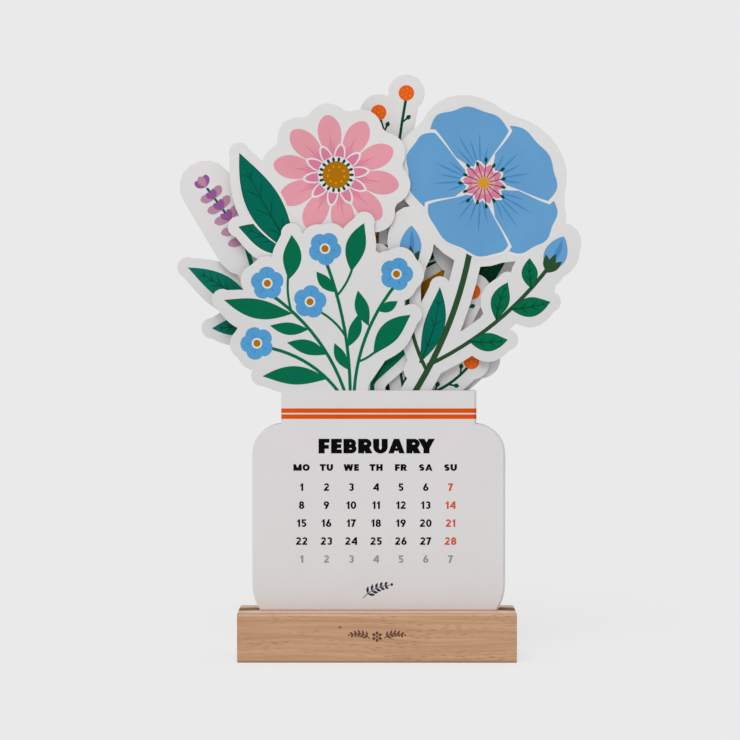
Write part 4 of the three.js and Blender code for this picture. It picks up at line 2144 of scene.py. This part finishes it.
@dataclass
class WoodenBlock:
    """The beech block with its groove and a small burnt ornament. Sizes are in millimetres.

    Attributes:
        workshop: What the pieces are made with.
        width: Its length along X.
        depth: Its depth along Y.
        height: Its height.
        groove_front: Where the groove's front wall stands.
        groove_back: Where its back wall stands.
        groove_floor: The height of its floor.
        top_round: The rounding of the long top edges.
        under_round: The rounding of the long lower edges.
        mouth_round: The rounding of the groove's mouth.
        end_round: The rounding of the edges of the two ends.
        ornament_height: The height of the ornament's middle.
    """

    workshop: Workshop
    width: float = 120.4
    depth: float = 29.986
    height: float = 21.3
    groove_front: float = -3.493
    groove_back: float = 4.993
    groove_floor: float = 11.04
    top_round: float = 1.3
    under_round: float = 0.7
    mouth_round: float = 0.25
    end_round: float = 0.45
    ornament_height: float = 11.07

    def profile(self) -> Outline:
        """The block's end view, Y to the right and Z up."""
        half = self.depth / 2
        return [
            (-half, 0.0), (half, 0.0), (half, self.height), (self.groove_back, self.height),
            (self.groove_back, self.groove_floor), (self.groove_front, self.groove_floor),
            (self.groove_front, self.height), (-half, self.height),
        ]

    def round_edges(
        self, chosen: Callable[[Vector, Vector], bool], radius: float, segments: int
    ) -> None:
        """Bevel edges of the block, which is the active object.

        Args:
            chosen: Says whether the edge between two corners is rounded.
            radius: The rounding.
            segments: How many faces it has across.
        """
        mesh = bpy.context.object.data
        for part in (*mesh.polygons, *mesh.vertices):
            part.select = False
        for edge in mesh.edges:
            start, end = (mesh.vertices[i].co for i in edge.vertices)
            edge.select = chosen(start, end)
        bpy.ops.object.mode_set(mode="EDIT")
        bpy.ops.mesh.select_mode(type="EDGE")
        bpy.ops.mesh.bevel(offset=radius, segments=segments, affect="EDGES", clamp_overlap=False)
        bpy.ops.mesh.select_mode(type="VERT")
        bpy.ops.object.mode_set(mode="OBJECT")

    def shape(self) -> Piece:
        """Draw out the end view along the block's length and round its edges.

        Returns:
            The block, in metres.
        """
        end, half = self.width / 2, self.depth / 2
        piece = self.workshop.press.blanks("beech_block", [self.profile()], [0.0])
        piece.data.transform(Matrix(((0, 0, 1, -end), (1, 0, 0, 0), (0, 1, 0, 0), (0, 0, 0, 1))))
        edit(
            piece,
            lambda: bpy.ops.mesh.extrude_region_move(
                TRANSFORM_OT_translate={"value": (self.width, 0, 0)}
            ),
            face_outwards,
        )

        def long_edge(y: float, z: float) -> Callable[[Vector, Vector], bool]:
            """Say how to choose the long edges at a distance from the middle and a height."""
            return lambda a, b: all(
                abs(abs(p.y) - y) < CLOSE and abs(p.z - z) < CLOSE for p in (a, b)
            )

        def end_edge(a: Vector, b: Vector) -> bool:
            """Choose the edges round the two ends."""
            return all(abs(abs(p.x) - end) < CLOSE for p in (a, b)) and abs(a.x - b.x) < CLOSE

        self.round_edges(long_edge(half, self.height), self.top_round, 5)
        self.round_edges(long_edge(half, 0.0), self.under_round, 4)
        for wall in (self.groove_front, self.groove_back):
            self.round_edges(long_edge(abs(wall), self.height), self.mouth_round, 3)
        self.round_edges(end_edge, self.end_round, 3)
        piece.data.transform(Matrix.Scale(MILLIMETRE, 4))
        bpy.ops.object.shade_smooth_by_angle(angle=math.radians(30))
        return piece

    def draw_ornament(self, drawing: Drawing) -> None:
        """Draw a small flower between two curved sprigs.

        Args:
            drawing: What it is drawn on.
        """
        flower = PetalRing((0.0, 0.3), 2.3, 2.3, 6, 30.0)
        drawing.petals(Ink.SCORCH, flower, 0.3, 1.0, 1.25, belly=1.2)
        drawing.dot(Ink.SCORCH, flower.centre, 0.5, 12)
        for side in (-1, 1):
            root, tip, bow = (side * 3.1, -0.4), (side * 11.2, 1.0), side * 1.2
            drawing.line(Ink.SCORCH, root, tip, 0.42, bow)
            for i in range(5):
                part = 0.14 + 0.19 * i
                spot, slope = on_bow(root, tip, bow, part), bow_slope(root, tip, bow, part)
                for turn in (-48, 48):
                    drawing.blade(Ink.SCORCH, spot, polar(spot, slope + turn, 2.4 - 0.18 * i), 0.85)
            drawing.dot(Ink.SCORCH, polar(tip, 0, side * 0.9), 0.42, 12)

    def build(self) -> None:
        """Model the block, burn in the ornament and dress both."""
        beech = BeechFinish(self.workshop.effects)
        self.workshop.fit(self.shape(), beech, "stand", Slot.BEECH, "base_block")
        drawing = Drawing()
        self.draw_ornament(drawing)
        face = (
            Matrix.Scale(MILLIMETRE, 4)
            @ Matrix.Translation((0, -self.depth / 2, self.ornament_height))
            @ Matrix.Rotation(math.pi / 2, 4, "X")
        )
        for ink, piece in self.workshop.press.lay(drawing, face, "block_ornament"):
            self.workshop.fit(piece, self.workshop.ink(ink), "stand", Slot.BEECH)


# ---------- The studio ----------


@dataclass
class Studio:
    """A pale floor without an edge, even light and one broad soft lamp.

    Attributes:
        backdrop: The grey that the camera sees, in sRGB.
        floor_reach: The floor's half width, in metres.
        sky_strength: The light from all round.
        key_strength: The light of the broad lamp.
        key_spread: How broad the lamp looks, in degrees.
        key_from: Where the lamp stands, as a direction.
        shade: How much of the floor's own shading the camera sees, so that its shadow shows.
        floor_colour: The floor's own colour, which the light brings down to the backdrop's.
    """

    backdrop: Colour = (234, 234, 234)
    floor_reach: float = 12.0
    sky_strength: float = 0.595
    key_strength: float = 1.42
    key_spread: float = 40.0
    key_from: tuple[float, float, float] = (-0.25, -1.0, 1.3)
    shade: float = 0.2
    floor_colour: Colour = (241, 241, 241)

    def seen(self, wiring: Wiring) -> object:
        """Tell the rays that see the backdrop from those that light the object.

        Args:
            wiring: The tree to work in.

        Returns:
            1 for a camera, glossy or transmission ray and 0 for the others.
        """
        path = wiring.node("ShaderNodeLightPath").outputs
        either = wiring.maths("MAXIMUM", path["Is Camera Ray"], path["Is Glossy Ray"])
        return wiring.maths("MAXIMUM", either, path["Is Transmission Ray"])

    def floor(self) -> None:
        """Make the floor, whose colour meets the backdrop without a line."""
        deselect()
        bpy.ops.mesh.primitive_circle_add(vertices=96, radius=self.floor_reach, fill_type="NGON")
        floor = bpy.context.object
        floor.name = "studio_floor"
        material = bpy.data.materials.new("studio_floor")
        material.use_nodes = True
        wiring = Wiring(material.node_tree)
        shader = material.node_tree.nodes["Principled BSDF"]
        shader.inputs["Base Color"].default_value = linear(self.floor_colour)
        shader.inputs["Roughness"].default_value = 0.9
        shader.inputs["Specular IOR Level"].default_value = 0.0
        glow = wiring.feed(wiring.node("ShaderNodeEmission"), Color=linear(self.backdrop))
        blend = wiring.node("ShaderNodeMixShader")
        part = wiring.maths("MULTIPLY", self.seen(wiring), 1 - self.shade)
        for index, socket in enumerate((part, shader.outputs["BSDF"], glow.outputs["Emission"])):
            wiring.tree.links.new(socket, blend.inputs[index])
        output = material.node_tree.nodes["Material Output"]
        wiring.tree.links.new(blend.outputs[0], output.inputs["Surface"])
        floor.data.materials.append(material)
        log.info("the floor is laid")

    def sky(self) -> None:
        """Make the even light, with the backdrop's grey for the camera."""
        world = bpy.data.worlds.new("studio_sky")
        bpy.context.scene.world = world
        world.use_nodes = True
        wiring = Wiring(world.node_tree)
        background = world.node_tree.nodes["Background"]
        white = (self.sky_strength, self.sky_strength, self.sky_strength, 1.0)
        colour = wiring.mix(self.seen(wiring), white, linear(self.backdrop))
        wiring.feed(background, Color=colour, Strength=1.0)

    def key(self) -> None:
        """Make the broad lamp high up in front, a little to the left."""
        bpy.ops.object.light_add(type="SUN")
        lamp = bpy.context.object
        lamp.name = "key_lamp"
        lamp.rotation_euler = Vector(self.key_from).to_track_quat("Z", "Y").to_euler()
        lamp.data.energy = self.key_strength
        lamp.data.angle = math.radians(self.key_spread)

    def build(self) -> None:
        """Set the view transform and make the floor, the sky and the lamp."""
        bpy.context.scene.view_settings.view_transform = "Standard"
        self.floor()
        self.sky()
        self.key()


@dataclass
class Viewpoint:
    """The camera where the photograph was taken from.

    Attributes:
        spot: Where it stands, in metres.
        yaw: How far it is turned to the left, in degrees.
        pitch: How far it looks down, in degrees.
        lens: Its focal length on a sensor 36 mm wide.
    """

    spot: tuple[float, float, float] = (0.0, -1.045, 0.155)
    yaw: float = 0.16688
    pitch: float = 1.6125
    lens: float = 117.0

    def build(self) -> None:
        """Place the camera."""
        turn = (math.radians(90 - self.pitch), 0.0, math.radians(self.yaw))
        bpy.ops.object.camera_add(location=self.spot, rotation=turn)
        camera = bpy.context.object
        camera.name = "camera"
        camera.data.lens = self.lens
        camera.data.sensor_width = 36.0
        bpy.context.scene.camera = camera


STACK: tuple[tuple[type[MonthCard], float], ...] = (
    (FebruaryCard, 0.4), (MarchCard, 1.25), (AprilCard, 0.75), (MayCard, 0.45),
    (JuneCard, 1.05), (JulyCard, 0.65), (AugustCard, 0.4), (SeptemberCard, 0.85),
    (OctoberCard, 1.15), (NovemberCard, 0.55), (DecemberCard, 0.4), (JanuaryCard, 0.75),
)


def main() -> None:
    """Build the block, the cards from front to back, the studio and the camera."""
    logging.basicConfig(level=logging.INFO, format="%(name)s: %(message)s")
    effects = SharedEffects(paper_tooth(), beech_grain())
    press = Press()
    workshop = Workshop(effects, press, TypeCase(press))
    Viewpoint().build()
    Studio().build()
    WoodenBlock(workshop).build()
    board = BoardFinish(effects)
    for place, (card, slip) in enumerate(STACK):
        card(workshop, slip, place).build(board)


if __name__ == "__main__":
    main()
